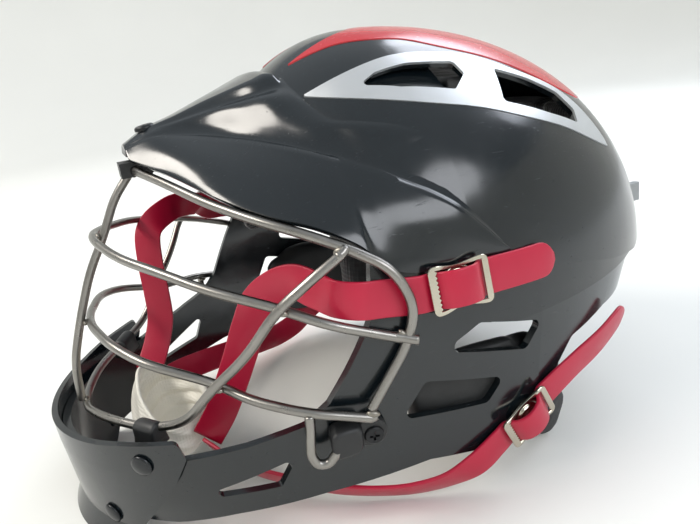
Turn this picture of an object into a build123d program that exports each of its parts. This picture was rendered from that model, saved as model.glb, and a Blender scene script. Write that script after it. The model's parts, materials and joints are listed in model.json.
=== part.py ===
"""Lacrosse helmet: moulded shell, brow visor, chin guard, wire cage, liner and chin straps.

The face looks along -Y, the wearer's left is +X and +Z is up. The helmet stands as it does
on a table, on the chin guard and on the ear pads, with z = 0 at the table.
"""
import os
from math import cos, radians, sin, sqrt, tan

from build123d import *

os.makedirs("parts", exist_ok=True)

# Main sizes, in millimetres
half_width = 111.0
rear_reach = 152.0
brow_reach = 84.0
jaw_reach = 166.0
equator_height = 78.0
crown_rise = 118.5
crown_height = equator_height + crown_rise
wall = 3.6
overrun = 70.0
drill_overrun = 7.0
fit_gap = 0.3

# Lower body: height, width, front and rear reach as shares of the widest level
ring_shares = ((0.0, 0.905, 0.966, 0.845), (0.51, 0.950, 0.988, 0.915), (1.0, 1.0, 1.0, 1.0))
level_shares = (0.0, 0.25, 0.51, 0.75, 1.0)
cheek_rise = 40.0
cheek_half_share = 0.5
cheek_reach_shares = (0.95, 0.90)


def girth(height):
    """Width share, front share and rear share of the lower body at a height."""
    t = height / equator_height
    out = []
    for column in (1, 2, 3):
        total = 0.0
        for i, row in enumerate(ring_shares):
            term = row[column]
            for j, other in enumerate(ring_shares):
                if i != j:
                    term *= (t - other[0]) / (row[0] - other[0])
            total += term
        out.append(total)
    return out


def cheek_width(height):
    """Half width of the cheeks above the widest level, where they follow the crown."""
    return half_width * sqrt(1 - ((height - equator_height) / crown_rise) ** 2)


def half_ring(height, width, reach, facing):
    """Half of an egg-shaped level, behind the middle (facing 1) or in front of it (-1)."""
    start = 0 if facing > 0 else 180
    with BuildSketch(Plane.XY.offset(height)) as level:
        with BuildLine():
            EllipticalCenterArc((0, 0), width, reach, start_angle=start, arc_size=180)
            Line((-width, 0), (width, 0))
        make_face()
    return level.sketch


def crown_quarter(grow, reach, facing):
    """A quarter of an ellipsoid over the widest level."""
    unit = Sphere(1, 0, 90, 180, align=None)
    unit = scale(unit, by=(half_width + grow, reach + grow, crown_rise + grow))
    unit = unit.moved(Location((0, 0, equator_height)))
    return unit if facing > 0 else mirror(unit, about=Plane.XZ)


def front_levels(grow, top_drop):
    """Levels of the cheeks and jaw, from the table up to under the visor."""
    levels = []
    for share in level_shares:
        width, front, _ = girth(share * equator_height)
        levels.append(half_ring(share * equator_height, width * half_width + grow, front * jaw_reach + grow, -1))
    top = cheek_rise - top_drop
    for share, reach_share in zip((cheek_half_share, 1.0), cheek_reach_shares):
        height = equator_height + top * share
        levels.append(half_ring(height, cheek_width(height) + grow, reach_share * jaw_reach + grow, -1))
    return levels


def rear_levels(grow, waist):
    """Levels of the nape, drawn in by waist, most of it halfway down."""
    levels = []
    for height, width, _, rear in ring_shares:
        draw = waist if height > 0 else 0.0
        levels.append(
            half_ring(height * equator_height, width * half_width + grow, rear * rear_reach + grow - draw, 1)
        )
    return levels


def half_form(levels, straight=False):
    """Solid through a stack of levels, with straight or curved sides."""
    with BuildPart() as form:
        loft(levels, ruled=straight)
    return form.part


def hollow(outer, *inner):
    """One solid with others taken out of it."""
    with BuildPart() as piece:
        add(outer)
        for core in inner:
            add(core, mode=Mode.SUBTRACT)
    return piece.part


def crown_skin(low, high):
    """A layer over the crown, between two distances from its surface."""
    rear = hollow(crown_quarter(high, rear_reach, 1), crown_quarter(low, rear_reach, 1))
    front = hollow(crown_quarter(high, brow_reach, -1), crown_quarter(low, brow_reach, -1))
    with BuildPart() as layer:
        add(rear)
        add(front)
    return layer.part


def common(piece, *tools):
    """What a solid shares with each of the others."""
    with BuildPart() as shared:
        add(piece)
        for tool in tools:
            add(tool, mode=Mode.INTERSECT)
    return shared.part


def other_side(piece):
    """The same piece on the right of the helmet."""
    return mirror(piece, about=Plane.YZ)


def surface_x(y, z):
    """Half width of the outer form at a place in the side view."""
    if z > equator_height and y > 0:
        return half_width * sqrt(1 - ((z - equator_height) / crown_rise) ** 2 - (y / rear_reach) ** 2)
    if z > equator_height:
        reach = jaw_reach * (1 - (1 - cheek_reach_shares[1]) * (z - equator_height) / cheek_rise)
        return cheek_width(z) * sqrt(1 - (y / reach) ** 2)
    width, front, rear = girth(z)
    reach = rear * rear_reach if y > 0 else front * jaw_reach
    return width * half_width * sqrt(1 - (y / reach) ** 2)


def surface_plane(y, z, lift=0.0, slope=0.0):
    """Plane on the left flank, x along the strap direction and z outwards."""
    step = wall
    dy = (surface_x(y + step, z) - surface_x(y - step, z)) / (step + step)
    dz = (surface_x(y, z + step) - surface_x(y, z - step)) / (step + step)
    normal = Vector(1, -dy, -dz).normalized()
    along = Vector(0, cos(radians(slope)), sin(radians(slope)))
    along = (along - normal * along.dot(normal)).normalized()
    return Plane(origin=Vector(surface_x(y, z), y, z) + normal * lift, x_dir=along, z_dir=normal)


def side(shares):
    """Side view points: y as shares of the rear reach, z of the crown height."""
    return [(y * rear_reach, z * crown_height) for y, z in shares]


def side_prism(shares, corner=0.0):
    """Block through the whole width with a side view outline."""
    with BuildPart() as prism:
        with BuildSketch(Plane.YZ) as outline:
            with BuildLine():
                Polyline(*side(shares), close=True)
            make_face()
            if corner:
                fillet(outline.vertices(), radius=corner)
        extrude(amount=half_width + overrun, both=True)
    return prism.part


def save(piece, name):
    """Label a finished piece and write it."""
    piece.label = name
    export_step(piece, "parts/" + name + ".step")
    print(name, round(piece.volume), len(piece.solids()))


# Shell: one moulding with the crown, cheeks, jaw ring and nape
shell_shares = (
    (-1.197, 0.046), (-0.836, 0.061), (-0.684, 0.087), (-0.461, 0.112), (-0.184, 0.130), (0.020, 0.102),
    (0.165, 0.107), (0.237, 0.224), (0.310, 0.292), (0.487, 0.312), (0.737, 0.296), (1.132, 0.288),
    (1.132, 1.170), (-0.658, 1.170), (-0.658, 0.728), (-0.447, 0.702), (-0.342, 0.656), (-0.276, 0.595),
    (-0.303, 0.489), (-0.434, 0.326), (-0.493, 0.285), (-0.632, 0.254), (-0.783, 0.229), (-1.197, 0.214),
)
window_upper_shares = ((-0.033, 0.422), (0.171, 0.377), (0.118, 0.321), (-0.145, 0.382))
window_lower_shares = ((-0.191, 0.326), (0.046, 0.275), (-0.007, 0.224), (-0.257, 0.249))
jaw_slot_shares = ((-0.809, 0.127), (-0.572, 0.148), (-0.526, 0.214))
crease_shares = (
    (0.171, 0.504), (0.296, 0.473), (0.507, 0.427), (0.697, 0.397), (1.151, 0.377), (1.151, 0.0), (0.171, 0.0),
)
edge_corner = 4.0
window_corner = 3.0
slot_corner = 2.0
step_depth = 3.2
waist_depth = 6.0

crown_core = crown_quarter(-wall, brow_reach, -1)
cheek_core = half_form(front_levels(-wall, wall))
nape_core = half_form(rear_levels(-wall, waist_depth))
nape_form = half_form(rear_levels(0.0, waist_depth))

nape_step = hollow(side_prism(crease_shares), crown_quarter(0.0, rear_reach - step_depth, 1), nape_form)

# Crown panel and side trims, thin mouldings let into the crown
panel_sink = 1.2
panel_proud = 0.4
panel_notch_shares = ((0.0, 0.053), (0.099, 0.013), (0.153, -0.053), (0.180, -0.132), (0.176, -0.224))
panel_edge_shares = (
    (0.234, -0.164), (0.270, -0.105), (0.324, -0.007), (0.351, 0.079), (0.414, 0.158), (0.468, 0.289),
    (0.502, 0.408), (0.510, 0.539), (0.440, 0.664), (0.234, 0.763), (0.0, 0.796),
)
trim_low_shares = (
    (-0.250, 0.798), (-0.138, 0.650), (-0.007, 0.560), (0.145, 0.504), (0.296, 0.446), (0.434, 0.408),
    (0.539, 0.376), (0.651, 0.369),
)
trim_top_shares = (
    (0.651, 0.401), (0.612, 0.509), (0.546, 0.612), (0.441, 0.676), (0.316, 0.748), (0.230, 0.803),
    (0.145, 0.822), (0.026, 0.834), (-0.079, 0.818), (-0.184, 0.807), (-0.250, 0.809),
)
vent_front_shares = (
    (-0.145, 0.716), (-0.079, 0.760), (0.020, 0.775), (0.171, 0.757), (0.178, 0.671), (0.112, 0.586),
    (-0.039, 0.640),
)
vent_rear_shares = (
    (0.289, 0.712), (0.401, 0.665), (0.507, 0.604), (0.546, 0.514), (0.520, 0.431), (0.401, 0.459),
    (0.237, 0.514),
)
vent_corner = 2.0
vent_lip = 0.8
tilt_plane = Plane(origin=(0, 0, 0), x_dir=(0, 1, 0), z_dir=(1, 0, 1))


def tilted(shares):
    """Points on the plane that faces up and to the left."""
    return [(y * rear_reach, v * half_width) for y, v in shares]


def grown(points, clear):
    """The points of a closed outline, anticlockwise, moved outwards by a clearance."""
    moved = []
    for i, here in enumerate(points):
        before = (Vector(*here) - Vector(*points[i - 1])).normalized()
        after = (Vector(*points[(i + 1) % len(points)]) - Vector(*here)).normalized()
        side_out = Vector(before.Y, -before.X)
        out = (side_out + Vector(after.Y, -after.X)).normalized()
        moved.append(Vector(*here) + out * (clear / out.dot(side_out)))
    return moved


def panel_prism(clear):
    """Upright block with the crown panel's outline, grown by a clearance."""
    left = [(x * half_width, y * rear_reach) for x, y in panel_notch_shares + panel_edge_shares]
    right = [(-x, y) for x, y in reversed(left[1:-1])]
    points = grown(left + right, clear)[: len(left)]
    corner = len(panel_notch_shares)
    with BuildPart() as prism:
        with BuildSketch(Plane.XY.offset(equator_height)):
            with BuildLine():
                Spline(*points[:corner])
                Spline(*points[corner - 1:])
                mirror(about=Plane.YZ)
            make_face()
        extrude(amount=crown_rise + overrun)
    return prism.part


def trim_prism(clear):
    """Slanted block with the left side trim's outline, grown by a clearance."""
    points = grown(tilted(trim_low_shares + trim_top_shares), clear)
    corner = len(trim_low_shares)
    with BuildPart() as prism:
        with BuildSketch(tilt_plane):
            with BuildLine():
                low = Spline(*points[:corner])
                top = Spline(*points[corner:])
                Line(low @ 1, top @ 0)
                Line(top @ 1, low @ 0)
            make_face()
        extrude(amount=crown_height + overrun)
    return prism.part


def vent_prism(shares, grow):
    """Slanted block with a vent's outline."""
    with BuildPart() as prism:
        with BuildSketch(tilt_plane) as outline:
            with BuildLine():
                Polyline(*grown(tilted(shares), grow), close=True)
            make_face()
            fillet(outline.vertices(), radius=vent_corner)
        extrude(amount=crown_height + overrun)
    return prism.part


# Fit tabs pull out through slots in the back of the shell
tab_spread = 35.0
tab_height = 90.0
tab_strip_width = 8.0
tab_strip_thickness = 1.6
tab_travel = 12.0
tab_slot_gap = 0.6

# Chin guard, a moulding over the front of the jaw, and the rivets that hold it
guard_wall = 2.65
guard_lip = 8.0
guard_lip_height = 9.0
guard_gap = 0.35
guard_shares = (
    (-1.217, 0.0), (-1.217, 0.238), (-0.987, 0.262), (-0.934, 0.270), (-0.796, 0.282), (-0.783, 0.244),
    (-0.822, 0.178), (-0.868, 0.122), (-0.928, 0.051), (-0.961, 0.0),
)
rivet_radius = 4.0
rivet_taper = 45.0
rivet_rise = 1.6
rivet_shank = 1.6
rivet_hole = 1.9
rivet_shares = ((-0.875, 0.229), (-0.980, 0.071))


def rivet_plane(shares):
    """Plane of a rivet head on the left of the chin guard."""
    y, z = side([shares])[0]
    return surface_plane(y, z, guard_gap + guard_wall + fit_gap)


def rivet_hole_tool():
    """Four drillings through the chin guard and the jaw."""
    depth = guard_wall + wall + drill_overrun
    with BuildPart() as tool:
        for shares in rivet_shares:
            with BuildSketch(rivet_plane(shares)):
                Circle(rivet_hole)
            extrude(amount=depth, both=True)
    return tool.part


rivet_drill = rivet_hole_tool()
pockets = crown_skin(-panel_sink, panel_sink)
vents = [vent_prism(vent_front_shares, 0.0), vent_prism(vent_rear_shares, 0.0)]
trim_pocket = common(pockets, trim_prism(fit_gap))

shell_walls = [
    hollow(crown_quarter(0.0, rear_reach, 1), crown_quarter(-wall, rear_reach, 1)),
    hollow(half_form(rear_levels(0.0, 0.0)), nape_core),
    hollow(crown_quarter(0.0, brow_reach, -1), crown_core, cheek_core),
    hollow(half_form(front_levels(0.0, 0.0)), cheek_core, crown_core),
]
shell_cuts = [
    nape_step,
    side_prism(window_upper_shares, window_corner),
    side_prism(window_lower_shares, window_corner),
    side_prism(jaw_slot_shares, slot_corner),
    common(pockets, panel_prism(fit_gap)),
]
for cut in (trim_pocket, *vents, rivet_drill):
    shell_cuts += [cut, other_side(cut)]

with BuildPart() as shell:
    for piece in shell_walls:
        add(piece)
    add(side_prism(shell_shares, edge_corner), mode=Mode.INTERSECT)
    for cut in shell_cuts:
        add(cut, mode=Mode.SUBTRACT)
    with BuildSketch(Plane.XZ.offset(-rear_reach / 2)):
        with Locations((tab_spread, tab_height), (-tab_spread, tab_height)):
            Rectangle(tab_strip_thickness + tab_slot_gap, tab_strip_width + tab_slot_gap)
    extrude(amount=-rear_reach, mode=Mode.SUBTRACT)
save(shell.part, "shell")

panel_skin = crown_skin(-panel_sink + fit_gap, panel_proud)
crown_panel = common(panel_skin, panel_prism(0.0))
save(crown_panel, "crown_panel")

vent_trim_left = hollow(
    common(panel_skin, trim_prism(0.0)),
    vent_prism(vent_front_shares, vent_lip),
    vent_prism(vent_rear_shares, vent_lip),
)
save(vent_trim_left, "vent_trim_left")
save(other_side(vent_trim_left), "vent_trim_right")


# Chin guard
guard_levels = []
for height, grow in (
    (0.0, guard_lip), (guard_lip_height, guard_gap + guard_wall), (equator_height / 2, guard_gap + guard_wall),
    (equator_height, guard_gap + guard_wall),
):
    share, front, _ = girth(height)
    guard_levels.append(half_ring(height, share * half_width + grow, front * jaw_reach + grow, -1))
chin_guard = hollow(half_form(guard_levels, True), half_form(front_levels(guard_gap, 0.0)))
chin_guard = common(chin_guard, side_prism(guard_shares, slot_corner))
save(hollow(chin_guard, rivet_drill, other_side(rivet_drill)), "chin_guard")

with BuildPart() as rivets_left:
    for shares in rivet_shares:
        head = rivet_plane(shares)
        with BuildSketch(head):
            Circle(rivet_radius)
        extrude(amount=rivet_rise / 2)
        with BuildSketch(head.offset(rivet_rise / 2)):
            Circle(rivet_radius)
        extrude(amount=rivet_rise / 2, taper=rivet_taper)
        with BuildSketch(head):
            Circle(rivet_shank)
        extrude(amount=-(guard_wall + wall))
with BuildPart() as guard_rivets:
    add(rivets_left.part)
    mirror(about=Plane.YZ)
save(guard_rivets.part, "guard_rivets")


# Brow visor, a thin moulding over the front of the crown that ends in panels on the flanks
visor_wall = 3.0
visor_gap = 0.4
visor_lip = 3.0
edge_reach_share = 4.0
# Sections from the tip back: y, edge x and z, crease x and z, valley x and z, ridge z
visor_rows_shares = (
    (-0.711, 0.117, 0.799, 0.054, 0.814, 0.027, 0.819, 0.820),
    (-0.645, 0.297, 0.766, 0.099, 0.831, 0.054, 0.842, 0.847),
    (-0.566, 0.559, 0.728, 0.135, 0.827, 0.081, 0.849, 0.864),
    (-0.474, 0.757, 0.692, 0.261, 0.817, 0.135, 0.855, 0.888),
    (-0.395, 0.851, 0.672, 0.450, 0.807, 0.207, 0.870, 0.908),
    (-0.329, 0.905, 0.646, 0.604, 0.790, 0.279, 0.891, 0.927),
    (-0.237, 0.959, 0.605, 0.734, 0.758, 0.333, 0.921, 0.959),
    (-0.132, 0.991, 0.575, 0.856, 0.707, 0.414, 0.936, 0.997),
    (-0.033, 1.009, 0.580, 0.932, 0.649, 0.450, 0.936, 1.013),
    (0.053, 1.018, 0.580, 0.965, 0.615, 0.468, 0.936, 1.013),
)
visor_rear_shares = (
    (0.092, 0.575), (0.053, 0.595), (-0.033, 0.659), (-0.132, 0.718), (-0.237, 0.768), (-0.329, 0.802),
    (-0.382, 0.819), (-0.329, 0.875), (-0.243, 0.964), (-0.243, 1.170), (0.395, 1.170), (0.395, 0.575),
)


def visor_section(row, inset):
    """Upright section of the visor, drawn in by inset and then let out below its edge."""
    edge = Vector(row[1] * half_width, row[2] * crown_height)
    crease = Vector(row[3] * half_width, row[4] * crown_height)
    down = (edge - crease).normalized()
    inwards = Vector(down.Y, -down.X) if down.Y < 0 else Vector(-down.Y, down.X)
    inwards = inwards if inwards.Y < 0 else -inwards
    edge = edge + inwards * inset + down * (inset * edge_reach_share)
    crease = crease + inwards * inset
    valley = Vector(row[5] * half_width, row[6] * crown_height - inset)
    ridge = Vector(0, row[7] * crown_height - inset)
    with BuildSketch(Plane.XZ.offset(-row[0] * rear_reach)) as section:
        with BuildLine():
            Line(edge, crease)
            Spline(crease, valley, ridge, Vector(-valley.X, valley.Y), Vector(-crease.X, crease.Y))
            Line((-crease.X, crease.Y), (-edge.X, edge.Y))
            Line((-edge.X, edge.Y), edge)
        make_face()
    return section.sketch


def between(row_a, row_b, t):
    """Row a part of the way from one row to the next."""
    return tuple(a + (b - a) * t for a, b in zip(row_a, row_b))


tip_row, second_row = visor_rows_shares[:2]
lip_t = visor_lip / ((second_row[0] - tip_row[0]) * rear_reach)
inner_rows = (between(tip_row, second_row, lip_t),) + visor_rows_shares[1:]
visor_outer = half_form([visor_section(row, 0.0) for row in visor_rows_shares])
visor_inner = half_form([visor_section(row, visor_wall) for row in inner_rows])

# Visor screw and the clip under the tip that holds the top of the cage
screw_y_share = -0.645
screw_radius = 4.5
screw_rise = 2.0
screw_shank = 2.0
screw_slot = 1.0
screw_play = 0.3
screw_lean_share = -0.15
screw_dome_share = 0.7
clip_width = 11.0
clip_low_share = 0.750
clip_front_share = -0.742
clip_back_share = -0.655
stem_width = 9.0
stem_front_share = -0.684
stem_back_share = -0.612
stem_top_share = 0.797
screw_y = screw_y_share * rear_reach
visor_top = between(tip_row, second_row, (screw_y_share - tip_row[0]) / (second_row[0] - tip_row[0]))[7]
screw_seat = Plane(origin=(0, screw_y, visor_top * crown_height - screw_play), z_dir=(0, screw_lean_share, 1))

with BuildPart() as screw_space:
    with BuildSketch(screw_seat):
        Circle(screw_radius + screw_play)
    extrude(amount=screw_rise + screw_radius)
    with BuildSketch(screw_seat):
        Circle(screw_shank + screw_play)
    extrude(amount=-(visor_wall + screw_radius))

visor = hollow(
    visor_outer,
    visor_inner,
    crown_quarter(visor_gap, rear_reach, 1),
    crown_quarter(visor_gap, brow_reach, -1),
    half_form(front_levels(visor_gap, 0.0)),
    side_prism(visor_rear_shares),
    screw_space.part,
)
save(visor, "visor")


def place(shares):
    """Points given as shares of the half width, the rear reach and the crown height."""
    return [Vector(x * half_width, y * rear_reach, z * crown_height) for x, y, z in shares]


def both_sides(shares):
    """A route given from the middle to the left, run from the right to the left."""
    return place([(-x, y, z) for x, y, z in reversed(shares[1:])] + list(shares))


bend_share = 0.45


def bend_radii(points):
    """The largest bends that the runs of a route allow."""
    radii = []
    for before, here, after in zip(points, points[1:], points[2:]):
        back = here - before
        ahead = after - here
        turn = radians(back.get_angle(ahead))
        radii.append(bend_share * min(back.length, ahead.length) / tan(turn / 2))
    return radii


def rod(points, radius):
    """Round wire along a route."""
    with BuildPart() as bent:
        with BuildLine() as route:
            FilletPolyline(*points, radius=bend_radii(points))
        with BuildSketch(Plane(origin=route.line @ 0, z_dir=route.line % 0)):
            Circle(radius)
        sweep(path=route.line)
    return bent.part


# Cage, wires of one gauge that lap where they cross and butt where they end
wire_radius = 1.9
wire_play = 0.2
upper_bar_shares = (
    (0.0, -0.873, 0.635), (0.306, -0.814, 0.613), (0.514, -0.730, 0.595), (0.685, -0.638, 0.565),
    (0.830, -0.509, 0.529), (0.946, -0.414, 0.494), (0.998, -0.253, 0.441),
)
middle_bar_shares = (
    (0.0, -0.938, 0.443), (0.333, -0.888, 0.438), (0.495, -0.822, 0.417), (0.642, -0.664, 0.366),
    (0.766, -0.605, 0.346), (0.905, -0.497, 0.325), (0.975, -0.352, 0.294),
)
chin_wire_shares = (
    (0.0, -1.013, 0.239), (0.252, -0.954, 0.260), (0.468, -0.849, 0.267), (0.595, -0.757, 0.290),
    (0.683, -0.684, 0.368), (0.785, -0.595, 0.440), (0.875, -0.521, 0.531), (0.915, -0.421, 0.585),
    (0.923, -0.353, 0.613),
)
perimeter_shares = (
    (0.0, -0.717, 0.768), (0.270, -0.658, 0.748), (0.541, -0.579, 0.710), (0.721, -0.500, 0.682),
    (0.829, -0.421, 0.656), (0.910, -0.336, 0.621), (0.993, -0.250, 0.575), (1.018, -0.214, 0.499),
    (1.005, -0.243, 0.427), (0.966, -0.345, 0.309),
)
centre_wire_shares = (
    (0.0, -0.716, 0.757), (0.0, -0.776, 0.707), (0.0, -0.831, 0.627), (0.0, -0.894, 0.552),
    (0.0, -0.957, 0.443), (0.0, -1.003, 0.346), (0.0, -1.011, 0.255),
)
hook_shares = (
    (0.907, -0.490, 0.310), (0.905, -0.484, 0.254), (0.916, -0.477, 0.214), (0.940, -0.450, 0.206),
    (0.950, -0.414, 0.229),
)
cage_routes = {
    "cage_upper_bar": both_sides(upper_bar_shares),
    "cage_middle_bar": both_sides(middle_bar_shares),
    "cage_chin_wire": both_sides(chin_wire_shares),
    "cage_perimeter_wire": both_sides(perimeter_shares),
    "cage_centre_wire": place(centre_wire_shares),
    "cage_hook_left": place(hook_shares),
}
for name, points in cage_routes.items():
    save(rod(points, wire_radius), name)
save(other_side(rod(cage_routes["cage_hook_left"], wire_radius)), "cage_hook_right")
wire_space = {name: rod(points, wire_radius + wire_play) for name, points in cage_routes.items()}

# Visor screw and clip
with BuildPart() as screw:
    with BuildSketch(screw_seat.offset(screw_play / 2)):
        Circle(screw_radius)
    extrude(amount=screw_rise)
    fillet(screw.faces().sort_by(Axis.Z)[-1].edges(), radius=screw_rise * screw_dome_share)
    with BuildSketch(screw_seat.offset(screw_play / 2 + screw_rise)):
        Rectangle(screw_radius, screw_slot)
        Rectangle(screw_slot, screw_radius)
    extrude(amount=-screw_slot, mode=Mode.SUBTRACT)
    with BuildSketch(screw_seat.offset(screw_play / 2)):
        Circle(screw_shank)
    extrude(amount=-(visor_wall + screw_radius))
save(screw.part, "visor_screw")

with BuildPart() as clip_block:
    with BuildSketch(Plane.YZ) as profile:
        with BuildLine():
            Polyline(
                *side((
                    (clip_front_share, clip_low_share), (clip_back_share, clip_low_share),
                    (stem_back_share, stem_top_share), (stem_front_share, stem_top_share),
                    (stem_front_share, clip_low_share + (stem_top_share - clip_low_share) * 0.7),
                    (clip_front_share, clip_low_share + (stem_top_share - clip_low_share) * 0.7),
                )),
                close=True,
            )
        make_face()
    extrude(amount=clip_width / 2, both=True)
visor_clip = hollow(
    clip_block.part, wire_space["cage_perimeter_wire"], wire_space["cage_centre_wire"], screw_space.part
)
save(visor_clip, "visor_clip")

# Clips on the chin guard that hold the lowest wire
chin_clip_length = 16.0
chin_clip_height = 11.5
chin_clip_depth = 26.0
chin_clip_share = (0.468, -0.849, 0.231)
chin_clip_angle = 30.0
chin_clip_plane = Plane(place([chin_clip_share])[0]).rotated((0, 0, chin_clip_angle))
with BuildPart() as chin_block:
    with BuildSketch(chin_clip_plane):
        with Locations((0, wire_radius * 3 - chin_clip_depth / 2)):
            Rectangle(chin_clip_length, chin_clip_depth)
    extrude(amount=chin_clip_height)
    fillet(chin_block.edges().filter_by(Axis.Z), radius=wire_radius)
chin_clip = hollow(
    common(chin_block.part, half_form(front_levels(guard_gap - fit_gap, 0.0))),
    wire_space["cage_chin_wire"],
    rivet_drill,
)
save(chin_clip, "chin_clip_left")
save(other_side(chin_clip), "chin_clip_right")

# Clips and screws on the cheeks that hold the ends of the side hooks
jaw_clip_share = (-0.388, 0.250)
jaw_clip_length = 13.0
jaw_clip_height = 16.0
jaw_clip_depth = 8.5
jaw_wing_length = 16.0
jaw_wing_height = 12.0
jaw_wing_depth = 2.0
jaw_screw_radius = 3.9
jaw_screw_rise = 2.4
jaw_screw_shank = 2.0
jaw_clip_plane = surface_plane(*side([jaw_clip_share])[0], fit_gap)
jaw_screw_spot = jaw_clip_length / 2 + jaw_wing_length / 2

with BuildPart() as jaw_block:
    with BuildSketch(jaw_clip_plane):
        with Locations((-jaw_clip_length / 2, 0)):
            Rectangle(jaw_clip_length, jaw_clip_height)
    extrude(amount=jaw_clip_depth)
    fillet(jaw_block.edges().filter_by(GeomType.LINE).group_by(Axis.X)[-1], radius=wire_radius)
    with BuildSketch(jaw_clip_plane):
        with Locations((jaw_wing_length / 2, 0)):
            RectangleRounded(jaw_wing_length + slot_corner, jaw_wing_height, jaw_wing_height / 3)
    extrude(amount=jaw_wing_depth)
    with BuildSketch(jaw_clip_plane.offset(jaw_wing_depth)):
        with Locations((jaw_wing_length / 2, 0)):
            Circle(jaw_screw_shank + screw_play)
    extrude(amount=-jaw_wing_depth, mode=Mode.SUBTRACT)
jaw_clip = hollow(
    jaw_block.part,
    wire_space["cage_hook_left"],
    wire_space["cage_perimeter_wire"],
    wire_space["cage_middle_bar"],
)
save(jaw_clip, "jaw_clip_left")
save(other_side(jaw_clip), "jaw_clip_right")

with BuildPart() as jaw_screw:
    with Locations(jaw_clip_plane.offset(jaw_wing_depth + fit_gap / 2)):
        with Locations((jaw_wing_length / 2, 0)):
            Cylinder(jaw_screw_radius, jaw_screw_rise, align=(Align.CENTER, Align.CENTER, Align.MIN))
    fillet(jaw_screw.faces().sort_by(Axis.X)[-1].edges(), radius=jaw_screw_rise / 3)
    with BuildSketch(jaw_clip_plane.offset(jaw_wing_depth + fit_gap / 2 + jaw_screw_rise)):
        with Locations((jaw_wing_length / 2, 0)):
            Rectangle(jaw_screw_radius, screw_slot)
            Rectangle(screw_slot, jaw_screw_radius)
    extrude(amount=-screw_slot, mode=Mode.SUBTRACT)
    with BuildSketch(jaw_clip_plane.offset(jaw_wing_depth + fit_gap / 2)):
        with Locations((jaw_wing_length / 2, 0)):
            Circle(jaw_screw_shank)
    extrude(amount=-jaw_wing_depth)
with BuildPart() as jaw_screws:
    add(jaw_screw.part)
    mirror(about=Plane.YZ)
save(jaw_screws.part, "jaw_screws")

# Liner, soft pads inside the crown and nape
pad_gap = 0.4
pad_depth = 12.0
pad_corner = 12.0
crown_pad_shares = ((0.27, -0.30), (0.27, 0.50))
side_pad_shares = ((-0.30, 0.43), (0.60, 0.43), (0.60, 0.74), (-0.30, 0.74))
side_pad_start = 0.32
front_pad_shares = ((-0.60, 0.72), (-0.34, 0.72), (-0.34, 0.86), (-0.60, 0.86))
rear_pad_shares = ((0.63, 0.53), (1.10, 0.53), (1.10, 0.76), (0.63, 0.76))
pad_half_share = 0.54
ear_pad_shares = (
    (-0.211, 0.183), (0.026, 0.168), (0.171, 0.112), (0.250, 0.0), (0.342, 0.0), (0.382, 0.071),
    (0.316, 0.244), (0.197, 0.336), (-0.066, 0.366), (-0.224, 0.316),
)


def left_prism(shares, start, end, corner):
    """Block with a side view outline, between two distances left of the middle."""
    with BuildPart() as prism:
        with BuildSketch(Plane.YZ.offset(start)) as outline:
            with BuildLine():
                Polyline(*side(shares), close=True)
            make_face()
            fillet(outline.vertices(), radius=corner)
        extrude(amount=end - start)
    return prism.part


liner_skin = crown_skin(-(wall + pad_gap + pad_depth), -(wall + pad_gap))
with BuildPart() as crown_pad_block:
    with BuildSketch(Plane.XY.offset(equator_height)):
        with Locations((0, (crown_pad_shares[0][1] + crown_pad_shares[1][1]) / 2 * rear_reach)):
            RectangleRounded(
                crown_pad_shares[0][0] * half_width * 2,
                (crown_pad_shares[1][1] - crown_pad_shares[0][1]) * rear_reach,
                pad_corner,
            )
    extrude(amount=crown_rise)
save(common(liner_skin, crown_pad_block.part), "liner_crown")
side_pad = common(
    liner_skin, left_prism(side_pad_shares, side_pad_start * half_width, half_width, pad_corner)
)
save(side_pad, "liner_left")
save(other_side(side_pad), "liner_right")
pad_half = pad_half_share * half_width
save(common(liner_skin, left_prism(front_pad_shares, -pad_half, pad_half, pad_corner / 2)), "liner_front")
save(common(liner_skin, left_prism(rear_pad_shares, -pad_half, pad_half, pad_corner / 2)), "liner_rear")


def lower_skin(low, high):
    """A layer inside the cheeks, jaw and nape, between two distances from the outside."""
    rear = hollow(half_form(rear_levels(high, waist_depth)), half_form(rear_levels(low, waist_depth)))
    front = hollow(half_form(front_levels(high, 0.0)), half_form(front_levels(low, 0.0)))
    with BuildPart() as layer:
        add(rear)
        add(front)
    return layer.part


ear_pad = common(
    lower_skin(-(wall + pad_gap + pad_depth), -(wall + pad_gap)),
    left_prism(ear_pad_shares, half_width / 2, half_width, slot_corner),
)
save(ear_pad, "ear_pad_left")
save(other_side(ear_pad), "ear_pad_right")

# Nape cradle, a band with its own pad that the fit tabs draw forwards
cradle_gap = 0.4
cradle_wall = 2.5
cradle_pad_depth = 8.0
cradle_half_share = 0.50
cradle_shares = ((0.50, 0.315), (1.10, 0.315), (1.10, 0.392), (0.50, 0.392))
cradle_pad_shares = ((0.55, 0.325), (1.10, 0.325), (1.10, 0.382), (0.55, 0.382))
cradle_half = cradle_half_share * half_width
cradle_out = wall + cradle_gap
cradle = common(
    hollow(
        half_form(rear_levels(-cradle_out, waist_depth)),
        half_form(rear_levels(-(cradle_out + cradle_wall), waist_depth)),
    ),
    left_prism(cradle_shares, -cradle_half, cradle_half, slot_corner),
)
save(cradle, "nape_cradle")
cradle_pad_out = cradle_out + cradle_wall + fit_gap
cradle_pad = common(
    hollow(
        half_form(rear_levels(-cradle_pad_out, waist_depth)),
        half_form(rear_levels(-(cradle_pad_out + cradle_pad_depth), waist_depth)),
    ),
    left_prism(cradle_pad_shares, -cradle_half * 0.9, cradle_half * 0.9, slot_corner),
)
save(cradle_pad, "nape_pad")

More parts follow.
